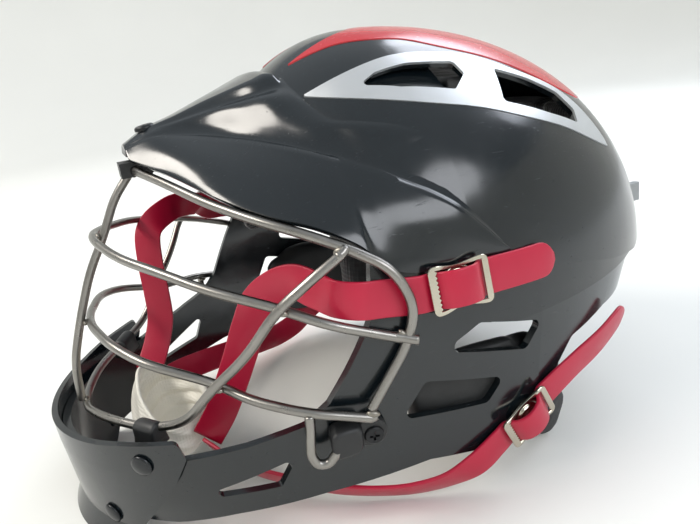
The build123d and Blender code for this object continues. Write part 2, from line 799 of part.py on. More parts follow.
# Fit tabs
tab_strip_length = 34.0
tab_grip_length = 10.0
tab_grip_height = 10.0
tab_grip_width = 4.4
tab_head_length = 3.0
tab_seat = rear_reach * sqrt(
    1 - ((tab_height - tab_grip_height / 2 - equator_height) / crown_rise) ** 2
    - ((tab_spread - tab_grip_width / 2) / half_width) ** 2
) + fit_gap
tab_centre = (tab_spread, tab_seat, tab_height)
with BuildPart() as fit_tab:
    with Locations(tab_centre):
        Box(
            tab_strip_thickness, tab_strip_length, tab_strip_width,
            align=(Align.CENTER, Align.MAX, Align.CENTER),
        )
        Box(
            tab_grip_width, tab_grip_length, tab_grip_height,
            align=(Align.CENTER, Align.MIN, Align.CENTER),
        )
    fillet(fit_tab.edges().filter_by(Axis.Z).sort_by(Axis.Y)[-2:], radius=tab_strip_thickness)
    with Locations((tab_spread, tab_seat - tab_strip_length, tab_height)):
        Box(
            tab_grip_width, tab_head_length, tab_grip_height,
            align=(Align.CENTER, Align.MAX, Align.CENTER),
        )
save(fit_tab.part, "fit_tab_left")
save(other_side(fit_tab.part), "fit_tab_right")

# Chin strap hardware: studs on the shell, and slotted buckles that snap on and swivel
strap_width = 14.0
strap_thickness = 1.7
stud_flange = 6.0
stud_flange_rise = 1.0
stud_post = 2.2
stud_rise = 3.7
buckle_length = 25.0
buckle_width = 18.5
buckle_wall = 1.4
buckle_lift = 2.8
buckle_bar = 2.5
buckle_bridge = 11.0
slot_length = 14.8
dome_inset = 0.4
dome_radius = buckle_bridge / 2 - dome_inset
dome_rise = 1.5
dome_taper = 60.0
hub_radius = 4.0
stud_play = 0.3
strap_ride = 1.1
strap_bulge = 7.5
strap_shoulder = 6.1
strap_joint_gap = 2.4
upper_snap_share = (-0.082, 0.509)
lower_snap_share = (0.118, 0.158)
lower_snap_slope = 28.0
snaps = {
    "upper": surface_plane(*side([upper_snap_share])[0], fit_gap),
    "lower": surface_plane(*side([lower_snap_share])[0], fit_gap, lower_snap_slope),
}

with BuildPart() as studs_left:
    for seat in snaps.values():
        with BuildSketch(seat):
            Circle(stud_flange)
        extrude(amount=stud_flange_rise)
        with BuildSketch(seat):
            Circle(stud_post)
        extrude(amount=stud_rise)
with BuildPart() as snap_studs:
    add(studs_left.part)
    mirror(about=Plane.YZ)
save(snap_studs.part, "snap_studs")


def buckle(seat):
    """Slotted plate with a domed middle that snaps over a stud."""
    slot_width = (buckle_length - buckle_bridge) / 2 - buckle_bar
    with BuildPart() as plate:
        with BuildSketch(seat.offset(buckle_lift)):
            RectangleRounded(buckle_length, buckle_width, buckle_bar)
            with Locations(
                (-(buckle_bridge + slot_width) / 2, 0), ((buckle_bridge + slot_width) / 2, 0)
            ):
                Rectangle(slot_width, slot_length, mode=Mode.SUBTRACT)
        extrude(amount=buckle_wall)
        with BuildSketch(seat.offset(buckle_lift + buckle_wall)):
            Circle(dome_radius)
        extrude(amount=dome_rise, taper=dome_taper)
        with BuildSketch(seat.offset(stud_flange_rise + stud_play)):
            Circle(hub_radius)
        extrude(amount=buckle_lift - stud_flange_rise - stud_play)
        with BuildSketch(seat.offset(stud_flange_rise)):
            Circle(stud_post + stud_play)
        extrude(amount=stud_rise - stud_flange_rise + stud_play, mode=Mode.SUBTRACT)
    return plate.part


def ribbon(stations):
    """Flat strap through stations, each a point and the way its face looks."""
    count = len(stations)
    with BuildPart() as strap:
        for i, (point, facing) in enumerate(stations):
            before = stations[max(i - 1, 0)][0]
            after = stations[min(i + 1, count - 1)][0]
            along = (after - before).normalized()
            across = facing.cross(along).normalized()
            with BuildSketch(Plane(origin=point, x_dir=across, z_dir=along)):
                Rectangle(strap_width, strap_thickness)
        loft(ruled=True)
    return strap.part


def on_seat(seat, along, lift):
    """Station over a snap, at a distance along the strap and above the shell."""
    return seat.origin + seat.x_dir * along + seat.z_dir * lift, seat.z_dir


def tail_stations(seat, shares, stand_off):
    """Strap through a buckle, over its dome and on to its free end, which stands off the shell."""
    bar = buckle_length / 2 - buckle_bar + strap_thickness / 4
    crest = buckle_bridge / 2
    stations = [
        on_seat(seat, along, lift)
        for along, lift in (
            (-buckle_length / 2 - strap_thickness, strap_ride), (-bar, strap_ride), (-crest, strap_shoulder),
            (0, strap_bulge), (crest, strap_shoulder), (bar, strap_ride),
            (buckle_length / 2 + strap_thickness, strap_ride),
        )
    ]
    for i, (y, z) in enumerate(side(shares)):
        spot = surface_plane(y, z, fit_gap + strap_ride + stand_off * (i + 1) / len(shares))
        stations.append((spot.origin, spot.z_dir))
    return stations


tail_shares = {
    "upper": ((0.079, 0.507), (0.151, 0.505), (0.217, 0.504)),
    "lower": ((0.296, 0.224), (0.421, 0.250), (0.553, 0.280)),
}
tail_stand_off = {"upper": 0.2, "lower": 3.4}
for level, seat in snaps.items():
    plate = buckle(seat)
    save(plate, "buckle_" + level + "_left")
    save(other_side(plate), "buckle_" + level + "_right")
    tail = ribbon(tail_stations(seat, tail_shares[level], tail_stand_off[level]))
    save(tail, "strap_tail_" + level + "_left")
    save(other_side(tail), "strap_tail_" + level + "_right")

# Chin cup, a padded cup that hangs from the straps a little askew
cup_centre_share = (0.018, -0.743, 0.183)
cup_x_dir = (0.95, 0.24, -0.21)
cup_half_width = 34.0
cup_half_depth = 23.0
cup_half_height = 21.0
cup_wall = 2.0
cup_pad_depth = 6.0
cup_tilt = 45.0
cup_across = Vector(*cup_x_dir).normalized()
cup_up = (Vector(0, 0, 1) - cup_across * cup_across.Z).normalized()
cup_plane = Plane(origin=place([cup_centre_share])[0], x_dir=cup_across, z_dir=cup_up)


def cup_form(inset):
    """Ellipsoid of the cup, drawn in by inset."""
    unit = scale(
        Sphere(1), by=(cup_half_width - inset, cup_half_depth - inset, cup_half_height - inset)
    )
    return unit.moved(cup_plane.location)


def cup_layer(outer, inner):
    """The front and underside of a layer of the cup."""
    layer = hollow(cup_form(outer), cup_form(inner))
    face_dir = (cup_plane.y_dir * cos(radians(cup_tilt)) + cup_plane.z_dir * sin(radians(cup_tilt)))
    return split(layer, bisect_by=Plane(origin=cup_plane.origin, z_dir=face_dir), keep=Keep.BOTTOM)


save(cup_layer(0.0, cup_wall), "chin_cup")
save(cup_layer(cup_wall + fit_gap, cup_wall + fit_gap + cup_pad_depth), "chin_pad")

# Chin straps from the buckles to the cup: x, y and z shares and the way the face looks
strap_run_shares = {
    "strap_upper_left": (
        ((0.974, -0.217, 0.512), (1.0, -0.2, 0.18)), ((0.965, -0.270, 0.518), (1.0, -0.3, 0.18)),
        ((0.957, -0.337, 0.526), (0.9, -0.5, 0.15)), ((0.905, -0.378, 0.530), (0.8, -0.6, 0.1)),
        ((0.820, -0.398, 0.535), (0.9, -0.4, 0.1)), ((0.703, -0.436, 0.545), (0.9, -0.4, 0.1)),
        ((0.595, -0.505, 0.504), (0.9, -0.4, 0.1)),
        ((0.541, -0.539, 0.443), (0.9, -0.4, 0.1)), ((0.495, -0.572, 0.372), (0.9, -0.4, 0.1)),
        ((0.450, -0.605, 0.305), (0.9, -0.4, 0.1)), ((0.395, -0.645, 0.229), (0.9, -0.4, 0.1)),
        ((0.338, -0.695, 0.159), (0.9, -0.4, 0.1)),
    ),
    "strap_upper_right": (
        ((-0.974, -0.217, 0.512), (-1.0, -0.2, 0.18)), ((-0.965, -0.270, 0.518), (-1.0, -0.3, 0.18)),
        ((-0.957, -0.337, 0.526), (-0.9, -0.5, 0.15)), ((-0.905, -0.385, 0.535), (-0.9, -0.2, 0.0)),
        ((-0.766, -0.450, 0.570), (-0.9, 0.4, -0.1)),
        ((-0.613, -0.579, 0.590), (-0.9, 0.4, -0.1)), ((-0.523, -0.671, 0.555), (-0.9, 0.4, -0.1)),
        ((-0.477, -0.695, 0.468), (-0.9, 0.4, -0.1)), ((-0.450, -0.700, 0.392), (-0.9, 0.4, -0.1)),
        ((-0.420, -0.710, 0.316), (-0.9, 0.4, -0.1)), ((-0.375, -0.743, 0.258), (-0.9, 0.4, -0.1)),
        ((-0.300, -0.793, 0.205), (-0.9, 0.4, -0.1)),
    ),
    "strap_lower_left": (
        ((0.945, -0.053, 0.085), (0.95, -0.1, -0.2)), ((0.914, -0.125, 0.061), (0.8, -0.2, -0.5)),
        ((0.856, -0.214, 0.045), (0.7, -0.3, -0.6)), ((0.784, -0.316, 0.045), (0.6, -0.4, -0.6)),
        ((0.712, -0.408, 0.055), (0.6, -0.5, -0.6)), ((0.603, -0.513, 0.073), (0.6, -0.5, -0.6)),
        ((0.477, -0.612, 0.094), (0.6, -0.5, -0.6)), ((0.306, -0.695, 0.130), (0.6, -0.5, -0.6)),
    ),
    "strap_lower_right": (
        ((-0.945, -0.053, 0.085), (-0.95, -0.1, -0.2)), ((-0.914, -0.125, 0.061), (-0.8, -0.2, -0.5)),
        ((-0.856, -0.214, 0.055), (-0.7, -0.3, -0.6)), ((-0.748, -0.316, 0.075), (-0.6, -0.4, -0.6)),
        ((-0.640, -0.428, 0.100), (-0.6, -0.5, -0.6)), ((-0.520, -0.560, 0.125), (-0.6, -0.5, -0.6)),
        ((-0.400, -0.690, 0.145), (-0.6, -0.5, -0.6)), ((-0.264, -0.779, 0.158), (-0.6, -0.5, -0.6)),
    ),
}
for name, rows in strap_run_shares.items():
    level = "upper" if "upper" in name else "lower"
    hand = 1 if "left" in name else -1
    seat = snaps[level]
    start, facing = on_seat(seat, -buckle_length / 2 - strap_thickness - strap_joint_gap, strap_ride)
    stations = [(Vector(start.X * hand, start.Y, start.Z), Vector(facing.X * hand, facing.Y, facing.Z))]
    for spot, look in rows:
        stations.append((place([spot])[0], Vector(*look)))
    save(ribbon(stations), name)
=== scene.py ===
# %% [markdown]
# Lacrosse helmet, dressed for its picture.
# The CAD model gives every piece its real place and size in metres. This script adds what
# CAD leaves out: finishes, soft foam, bent rubber straps, pressed buckles, a creased visor,
# welds, rivet heads and clips. It ends with the camera and the light.

# %% The frame and the first measurements
import json
import math

import bmesh
import bpy
import numpy as np
from mathutils import Matrix, Vector


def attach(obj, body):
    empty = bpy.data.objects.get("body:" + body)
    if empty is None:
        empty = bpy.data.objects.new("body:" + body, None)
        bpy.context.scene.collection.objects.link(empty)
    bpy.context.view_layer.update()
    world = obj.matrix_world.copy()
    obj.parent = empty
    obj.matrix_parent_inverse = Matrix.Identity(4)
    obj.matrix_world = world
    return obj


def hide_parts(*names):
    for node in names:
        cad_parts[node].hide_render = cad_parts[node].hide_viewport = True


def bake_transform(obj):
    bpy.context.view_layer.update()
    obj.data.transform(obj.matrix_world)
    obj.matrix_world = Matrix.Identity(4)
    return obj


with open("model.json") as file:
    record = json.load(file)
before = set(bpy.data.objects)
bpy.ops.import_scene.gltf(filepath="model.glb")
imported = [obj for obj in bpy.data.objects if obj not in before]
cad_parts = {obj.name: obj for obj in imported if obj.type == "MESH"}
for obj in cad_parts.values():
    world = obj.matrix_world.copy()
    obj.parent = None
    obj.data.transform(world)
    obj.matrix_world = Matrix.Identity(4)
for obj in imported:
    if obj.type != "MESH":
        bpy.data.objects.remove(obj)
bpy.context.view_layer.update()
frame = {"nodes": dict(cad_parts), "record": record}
nodes = frame["nodes"]
MM = 0.001
SIDES = (("left", 1), ("right", -1))

# %% [markdown]
# A finish starts from what the real thing is made of and how its surface was made. Its
# colours are written as the hex values that a paint chart gives, and Cycles works with
# linear light, so one function turns one into the other. A second adds an object, and a
# third adds one node, sets it and links it.

# %% Colour, object and node helpers
def linear(hex_colour):
    """Linear RGBA of an sRGB colour such as c8102e."""
    out = []
    for start in (0, 2, 4):
        share = int(hex_colour[start:start + 2], 16) / 255
        out.append(share / 12.92 if share <= 0.04045 else ((share + 0.055) / 1.055) ** 2.4)
    return (*out, 1.0)


def add_object(name, data):
    """Object with this data, linked to the scene."""
    made = bpy.data.objects.new(name, data)
    bpy.context.collection.objects.link(made)
    return made


def add_node(tree, kind, settings=None, inputs=None):
    """Add a node: settings are its options, inputs are values or outputs of other nodes."""
    made = tree.nodes.new(kind)
    for name, value in (settings or {}).items():
        setattr(made, name, value)
    for name, value in (inputs or {}).items():
        if isinstance(value, bpy.types.NodeSocket):
            tree.links.new(value, made.inputs[name])
        else:
            made.inputs[name].default_value = value
    return made


# %% [markdown]
# Most finishes here share one build. The colour wanders between two close shades in soft
# patches, the gloss wanders too, because handling dulls some places, and a fine grain lifts
# the surface by a few hundredths of a millimetre. Patch and grain are real sizes in
# millimetres, so a noise texture's scale is one thousand over the size: the scene is in
# metres. A noise keeps mostly between 0.3 and 0.7, so that span is stretched over the gloss
# range. What is the same all over, such as IOR, is set on the shader's own socket.

# %% The shared build of a finish
noise_low, noise_high = 0.3, 0.7


def noise_of(tree, place, size_mm, detail=2.0):
    """Soft random pattern whose blobs are about size_mm across."""
    scale = 1 / (size_mm * MM)
    made = add_node(
        tree, "ShaderNodeTexNoise", {}, {"Vector": place, "Scale": scale, "Detail": detail}
    )
    return made.outputs["Fac"]


def finish(name, shades, gloss, patch_mm, grain_mm, grain_lift_mm, metallic=0.0, fixed=None):
    """Material with two shades, a gloss range, soft patches and a fine grain."""
    material = bpy.data.materials.new(name)
    material.use_nodes = True
    tree = material.node_tree
    tree.nodes.clear()
    place = add_node(tree, "ShaderNodeTexCoord").outputs["Object"]
    patches = noise_of(tree, place, patch_mm)
    colour = add_node(
        tree, "ShaderNodeMix", {"data_type": "RGBA"},
        {0: patches, 6: linear(shades[0]), 7: linear(shades[1])},
    )
    rough = add_node(
        tree, "ShaderNodeMapRange", {},
        {"Value": noise_of(tree, place, patch_mm / 3, 6.0), "From Min": noise_low,
         "From Max": noise_high, "To Min": gloss[0], "To Max": gloss[1]},
    )
    lift = add_node(
        tree, "ShaderNodeBump", {},
        {"Height": noise_of(tree, place, grain_mm), "Distance": grain_lift_mm * MM,
         "Strength": 1.0},
    )
    shader = add_node(
        tree, "ShaderNodeBsdfPrincipled", {},
        {"Base Color": colour.outputs[2], "Roughness": rough.outputs[0],
         "Normal": lift.outputs[0], "Metallic": metallic, **(fixed or {})},
    )
    add_node(tree, "ShaderNodeOutputMaterial", {}, {"Surface": shader.outputs[0]})
    print("finish", name)
    return material, tree, place, shader, lift


# %% [markdown]
# The shell, visor and chin guard are injection moulded polycarbonate, black and polished by
# the mould. The eye gets a deep black with crisp reflections, which wander a little because
# no moulding is flat. Handling leaves hairline scuffs, drawn as thin dull streaks: a noise
# stretched forty times along one direction and cut to its peaks.

# %% Moulded polycarbonate, black
streak_squeeze, streak_edge, streak_dulling = 0.025, 0.06, 0.16
polycarbonate_ior = 1.58


def scuffed(made, turn, width_mm, keep):
    """Add dull hairline streaks to a glossy finish."""
    material, tree, place, shader, _ = made
    turned = add_node(
        tree, "ShaderNodeMapping", {},
        {"Vector": place, "Rotation": turn, "Scale": (1.0, streak_squeeze, 1.0)},
    )
    streaks = noise_of(tree, turned.outputs[0], width_mm, 3.0)
    peaks = add_node(
        tree, "ShaderNodeMapRange", {},
        {"Value": streaks, "From Min": keep, "From Max": keep + streak_edge,
         "To Min": 0.0, "To Max": streak_dulling},
    )
    base = shader.inputs["Roughness"].links[0].from_socket
    total = add_node(tree, "ShaderNodeMath", {"operation": "ADD"}, {0: base, 1: peaks.outputs[0]})
    tree.links.new(total.outputs[0], shader.inputs["Roughness"])
    return material


shell_black = scuffed(finish(
    "moulded_polycarbonate_black", ("0b1115", "11181c"), (0.12, 0.20), 55.0, 9.0, 0.012,
    fixed={"IOR": polycarbonate_ior},
), (0.3, 0.2, 0.7), 0.7, 0.66)
guard_black = scuffed(finish(
    "moulded_polycarbonate_black_guard", ("0c1216", "13191d"), (0.14, 0.22), 40.0, 7.0, 0.014,
    fixed={"IOR": polycarbonate_ior},
), (0.1, 1.1, 0.4), 0.6, 0.64)

# %% [markdown]
# The crown panel is a separate red moulding and the vent surrounds are ABS sprayed silver,
# a lacquer with fine metal flake, so it is part metallic and its grain is the flake. Real
# flake is near 0.03 mm, too fine for this picture, so it is drawn at 0.5 mm.

# %% Red moulding and silver lacquer
panel_red = scuffed(finish(
    "moulded_polycarbonate_red", ("b3101c", "be1624"), (0.16, 0.24), 45.0, 8.0, 0.012,
    fixed={"IOR": polycarbonate_ior},
), (0.2, 0.4, 1.2), 0.7, 0.66)
trim_silver = finish(
    "sprayed_silver_lacquer_on_abs", ("b9bcbf", "c7cacc"), (0.30, 0.38), 30.0, 0.5, 0.010,
    metallic=0.55,
)[0]

# %% [markdown]
# The cage is drawn stainless wire, tumbled satin after welding. Its drawing lines are finer
# than a pixel, so they show as a soft sheen with small dull patches. Buckles and studs are
# pressed steel with a bright nickel plate, which is warmer than stainless. Screws have a
# black oxide coat that shines on edges, and rivets are lacquered black, so they look wet.

# %% Wire, nickel, black oxide and lacquer
wire_steel = finish(
    "drawn_stainless_wire_tumbled", ("827f7a", "979490"), (0.26, 0.36), 14.0, 0.9, 0.012,
    metallic=1.0,
)[0]
weld_steel = finish(
    "welded_stainless", ("7c7872", "989389"), (0.32, 0.46), 2.0, 0.6, 0.04, metallic=1.0,
)[0]
buckle_nickel = finish(
    "bright_nickel_plated_steel", ("b9b2a2", "c9c2b2"), (0.14, 0.24), 9.0, 1.2, 0.010,
    metallic=1.0,
)[0]
screw_black = finish(
    "black_oxide_steel", ("1d1e20", "2a2b2d"), (0.28, 0.40), 4.0, 0.6, 0.012, metallic=0.6,
)[0]
rivet_black = finish(
    "black_lacquered_steel", ("1c1e20", "26282b"), (0.16, 0.26), 5.0, 0.8, 0.012, metallic=0.3,
)[0]

# %% [markdown]
# Clips, cradle and tabs are nylon from a spark-eroded mould, which gives an even fine matte
# grain of about 0.4 mm. The straps are extruded thermoplastic rubber: dense red, satin,
# slightly uneven where fingers have polished it.

# %% Matte nylon and satin rubber
clip_nylon = finish(
    "spark_textured_nylon_black", ("161718", "1c1d1f"), (0.42, 0.52), 16.0, 0.4, 0.02,
)[0]
tab_nylon = finish(
    "spark_textured_nylon_grey", ("8c8f90", "999c9d"), (0.42, 0.52), 16.0, 0.4, 0.02,
)[0]
strap_red = finish(
    "extruded_thermoplastic_rubber_red", ("a90e31", "b41438"), (0.30, 0.40), 18.0, 0.8, 0.012,
    fixed={"IOR": 1.48},
)[0]

# %% [markdown]
# The foam is covered in black warp knit, the chin pad in ivory tricot, and the ear pads are
# foam with a moulded skin. A knit is rows of loops: two wave textures at right angles make
# the rows and the columns, multiplied into small bumps, and a third keeps faces that look
# any way bumpy. Real loops are 0.9 mm apart on the liner and 0.7 mm on the chin pad, too
# fine to show here, so they are drawn twice as wide. Sheen gives the pale edge of fibres.

# %% Knit covers and skinned foam
waver = 0.4


def knitted(made, loop_mm, depth_mm):
    """Turn a finish into a knit with loops loop_mm apart."""
    material, tree, place, _, lift = made
    waves = []
    for axis in ("X", "Y", "Z"):
        wave = add_node(
            tree, "ShaderNodeTexWave", {"bands_direction": axis},
            {"Vector": place, "Scale": math.pi / (10 * loop_mm * MM), "Distortion": waver},
        )
        waves.append(wave.outputs["Fac"])
    rows = add_node(tree, "ShaderNodeMath", {"operation": "MULTIPLY"}, {0: waves[0], 1: waves[1]})
    loops = add_node(
        tree, "ShaderNodeMath", {"operation": "ADD"}, {0: rows.outputs[0], 1: waves[2]}
    )
    tree.links.new(loops.outputs[0], lift.inputs["Height"])
    lift.inputs["Distance"].default_value = depth_mm * MM
    return material


liner_knit = knitted(finish(
    "warp_knit_polyester_black", ("17181a", "222427"), (0.75, 0.88), 25.0, 1.0, 0.1,
    fixed={"Sheen Weight": 0.35, "Sheen Roughness": 0.5},
), 1.8, 0.18)
chin_knit = knitted(finish(
    "brushed_tricot_ivory", ("e4e0d4", "f0ede3"), (0.70, 0.85), 12.0, 1.0, 0.1,
    fixed={"Sheen Weight": 0.25, "Sheen Roughness": 0.4},
), 1.4, 0.10)
ear_foam = finish(
    "skinned_eva_foam_black", ("141516", "1b1c1d"), (0.50, 0.65), 20.0, 1.1, 0.05,
)[0]

# %% [markdown]
# Every CAD node gets its finish by assigning to its material slot. Nothing is moved and no
# vertex is changed.

# %% Finishes on the CAD pieces
finish_by_slot = {
    "black_shell": shell_black, "red_panel": panel_red, "silver_trim": trim_silver,
    "cage_steel": wire_steel, "dark_steel": screw_black, "clip_plastic": clip_nylon,
    "liner_foam": liner_knit, "ear_foam": ear_foam, "cradle_plastic": clip_nylon,
    "tab_plastic": tab_nylon, "buckle_steel": buckle_nickel, "strap_rubber": strap_red,
    "cup_shell": chin_knit, "cup_fabric": chin_knit,
}
for part in frame["record"]["subparts"]:
    solid = nodes[part["node"]]
    solid.data.materials.clear()
    solid.data.materials.append(finish_by_slot[part["material_slot"]])
nodes["chin_guard"].data.materials[0] = guard_black
print("dressed", len(nodes), "CAD nodes")

# %% [markdown]
# A rubber strap is one flat extrusion, so it is swept: a small rounded rectangle is carried
# along a smooth line, turned at each step so that its flat side faces the way the strap
# faces. The line goes through stations in millimetres, each a point and the way the strap's
# face looks there. Between them it is a cubic whose slope at each station follows both
# neighbours, weighted by how far away they are.

# %% Smooth lines and sweeps
def smooth_line(points, step):
    """Evenly spaced points on a smooth line through the given ones, with any columns."""
    points = np.asarray(points, float)
    gaps = np.linalg.norm(np.diff(points[:, :3], axis=0), axis=1)
    along = np.concatenate(([0.0], np.cumsum(gaps)))
    slopes = np.gradient(points, along, axis=0)
    out = []
    for i, gap in enumerate(gaps):
        count = max(2, int(round(gap / step)))
        for t in np.arange(count) / count:
            out.append(
                (2 * t**3 - 3 * t**2 + 1) * points[i] + (t**3 - 2 * t**2 + t) * gap * slopes[i]
                + (3 * t**2 - 2 * t**3) * points[i + 1] + (t**3 - t**2) * gap * slopes[i + 1]
            )
    out.append(points[-1])
    return np.array(out)


def new_piece(name, verts, faces, material, body, slot, smooth=True):
    """Mesh object from points in millimetres, which rides on a CAD body if one is named."""
    mesh = bpy.data.meshes.new(name)
    mesh.from_pydata([tuple(np.asarray(v, float) * MM) for v in verts], [], faces)
    mesh.validate()
    mesh.update()
    tidy = bmesh.new()
    tidy.from_mesh(mesh)
    bmesh.ops.recalc_face_normals(tidy, faces=tidy.faces)
    tidy.to_mesh(mesh)
    tidy.free()
    mesh.polygons.foreach_set("use_smooth", [smooth] * len(mesh.polygons))
    mesh.materials.append(material)
    made = add_object(name, mesh)
    if body:
        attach(made, body)
    return made


def heading_at(line, i):
    """Direction in which a line of points runs at its point i."""
    before, after = line[max(i - 1, 0)][:3], line[min(i + 1, len(line) - 1)][:3]
    return Vector(after - before).normalized()


def swept(sections):
    """Points and faces of a closed tube through rings of equal count, with flat ends."""
    count = len(sections[0])
    verts = [point for ring in sections for point in ring]
    faces = [tuple(reversed(range(count))), tuple(range(len(verts) - count, len(verts)))]
    for i in range(len(sections) - 1):
        for k in range(count):
            a, b = i * count + k, i * count + (k + 1) % count
            faces.append((a, b, b + count, a + count))
    return verts, faces


# %% [markdown]
# Each strap runs from the chin cup, along the cheek, under the front bar of its buckle, in a
# loop over the snap and under the rear bar to a free rounded end. The tail is the same on
# both sides.

# %% Strap sizes and stations
strap_width, strap_thickness, edge_round = 14.0, 1.7, 0.6
strap_step, tip_start = 1.5, 0.25
upper_snap = (0.983, -0.054, 0.175)
lower_snap = (0.986, 0.1, -0.132)
near_cheek = (0.909, -0.404, 0.101)
far_cheek = (-0.909, 0.404, -0.101)
near_jaw = (0.609, -0.508, -0.609)
far_jaw = (-0.609, -0.508, -0.609)
upper_tail = [
    ((108.1, 33.24, 99.31), (0.973, 0.161, 0.169)), ((109.41, 23.12, 99.49), (0.979, 0.111, 0.169)),
    ((110.23, 12.09, 99.88), (0.983, 0.058, 0.172)), ((110.86, 1.64, 100.4), upper_snap),
    ((110.66, -2.13, 100.36), upper_snap), ((115.31, -7.32, 101.19), upper_snap),
    ((116.39, -12.89, 101.39), upper_snap), ((114.72, -18.3, 101.09), upper_snap),
    ((109.54, -22.95, 100.16), upper_snap), ((109.3, -27.3, 100.13), upper_snap),
    ((108.11, -32.98, 100.61), (0.966, -0.193, 0.174)),
    ((107.11, -41.04, 101.79), (0.944, -0.283, 0.17)),
    ((106.23, -51.22, 103.36), (0.865, -0.481, 0.144)),
]
lower_tail = [
    ((91.47, 86.29, 54.11), (0.8, 0.57, -0.19)), ((98.67, 65.28, 48.52), (0.9, 0.4, -0.17)),
    ((102.86, 45.61, 43.64), (0.958, 0.245, -0.149)), ((104.39, 30.58, 37.58), lower_snap),
    ((104.49, 27.26, 35.79), lower_snap), ((109.55, 23.42, 32.8), lower_snap),
    ((111.07, 18.72, 30.02), lower_snap), ((109.83, 13.73, 27.6), lower_snap),
    ((105.03, 8.9, 25.93), lower_snap), ((105.14, 5.0, 23.85), lower_snap),
    ((104.89, -8.06, 16.7), (0.973, -0.102, -0.205)),
    ((101.45, -19.0, 11.99), (0.83, -0.207, -0.518)),
]
strap_runs = {
    "upper_left": [
        ((100.45, -57.46, 104.15), (0.796, -0.597, 0.1)), ((91.02, -60.5, 105.13), near_cheek),
        ((78.03, -66.27, 107.09), near_cheek), ((66.05, -76.76, 99.04), near_cheek),
        ((60.05, -81.93, 87.05), near_cheek), ((54.95, -86.94, 73.1), near_cheek),
        ((49.95, -91.96, 59.93), near_cheek), ((43.84, -98.04, 45.0), near_cheek),
        ((37.52, -105.64, 31.24), near_cheek),
    ],
    "upper_right": [
        ((-100.45, -58.52, 105.13), (-0.976, -0.217, 0.0)),
        ((-85.03, -68.4, 112.0), far_cheek), ((-68.04, -88.01, 115.93), far_cheek),
        ((-58.05, -101.99, 109.06), far_cheek), ((-52.95, -105.64, 91.96), far_cheek),
        ((-49.95, -106.4, 77.03), far_cheek), ((-46.62, -107.92, 62.09), far_cheek),
        ((-41.62, -112.94, 50.7), far_cheek), ((-33.3, -120.54, 40.28), far_cheek),
    ],
    "lower_left": [
        ((95.02, -32.53, 8.84), (0.722, -0.309, -0.619)),
        ((87.02, -48.03, 8.84), (0.64, -0.426, -0.64)), ((79.03, -62.02, 10.81), near_jaw),
        ((66.93, -77.98, 14.34), near_jaw), ((52.95, -93.02, 18.47), near_jaw),
        ((33.97, -105.64, 25.55), near_jaw),
    ],
    "lower_right": [
        ((-95.02, -32.53, 10.81), (-0.722, -0.309, -0.619)),
        ((-83.03, -48.03, 14.74), (-0.64, -0.426, -0.64)), ((-71.04, -65.06, 19.65), far_jaw),
        ((-57.72, -85.12, 24.56), far_jaw), ((-44.4, -104.88, 28.49), far_jaw),
        ((-29.3, -118.41, 31.05), far_jaw),
    ],
}

# %% The four straps
def circle(count):
    """Cosine and sine at even steps round a circle."""
    angles = [2 * math.pi * k / count for k in range(count)]
    return [(math.cos(angle), math.sin(angle)) for angle in angles]


def strap_ring(centre, across, out, width):
    """Rounded rectangle of a strap's section, each corner a quarter circle in three steps."""
    ring = []
    half_w, half_t = width / 2, strap_thickness / 2
    for side_w, side_t in ((1, 1), (-1, 1), (-1, -1), (1, -1)):
        for c, s in circle(12)[:4][::side_w * side_t]:
            reach_w, reach_t = half_w + edge_round * (c - 1), half_t + edge_round * (s - 1)
            ring.append(centre + across * side_w * reach_w + out * side_t * reach_t)
    return ring


def make_strap(name, hand, level):
    """One strap from its rounded free end, through the buckle, to the chin cup."""
    tail = upper_tail if level == "upper" else lower_tail
    rows = [(x * hand, y, z, a * hand, b, c) for (x, y, z), (a, b, c) in tail]
    rows += [(*point, *face) for point, face in strap_runs[name]]
    line = smooth_line(rows, strap_step)
    sections = []
    gone, tip = 0.0, strap_width / 2
    for i, row in enumerate(line):
        along = heading_at(line, i)
        face_dir = Vector(row[3:6])
        out = (face_dir - along * face_dir.dot(along)).normalized()
        across = along.cross(out)
        if i:
            gone += np.linalg.norm(row[:3] - line[i - 1][:3])
        width = strap_width
        if gone < tip:
            width = 2 * math.sqrt(max(tip**2 - (tip - max(gone, tip_start)) ** 2, 0.0))
        sections.append(strap_ring(Vector(row[:3]), across, out, max(width, 2 * edge_round)))
    strap = new_piece("rubber_strap_" + name, *swept(sections), strap_red, None, "strap_rubber")
    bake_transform(strap)
    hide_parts("strap_" + name, "strap_tail_" + name)
    print("strap", name, "length", round(gone), "mm")


for name in strap_runs:
    make_strap(name, 1 if name.endswith("left") else -1, name.split("_")[0])

# %% [markdown]
# The buckle is pressed from nickel-plated plate: a front bar with saw teeth that bite the
# rubber, a plain rear bar, and two narrow rails that dip in between them and turn inwards to
# the snap's collar. It is drawn flat first, as an outer and an inner outline with matching
# points. Then a small section with eased edges goes round between them, and each point drops
# by the dip of the rails.

# %% Buckle plate
plate_length, plate_width, plate_thickness, plate_lift = 25.0, 18.5, 1.2, 2.9
front_bar, rear_bar, rail = 3.0, 2.6, 1.7
tooth_depth, tooth_count = 0.8, 9
rail_dip, rail_turn, inner_turn_share, rail_steps = 1.4, 1.3, 0.6, 16
corner, edge_ease, edge_share = 2.4, 0.25, 0.12
plate_section = (
    (0.0, edge_ease), (0.0, plate_thickness - edge_ease), (edge_share, plate_thickness),
    (1 - edge_share, plate_thickness), (1.0, plate_thickness - edge_ease), (1.0, edge_ease),
    (1 - edge_share, 0.0), (edge_share, 0.0),
)


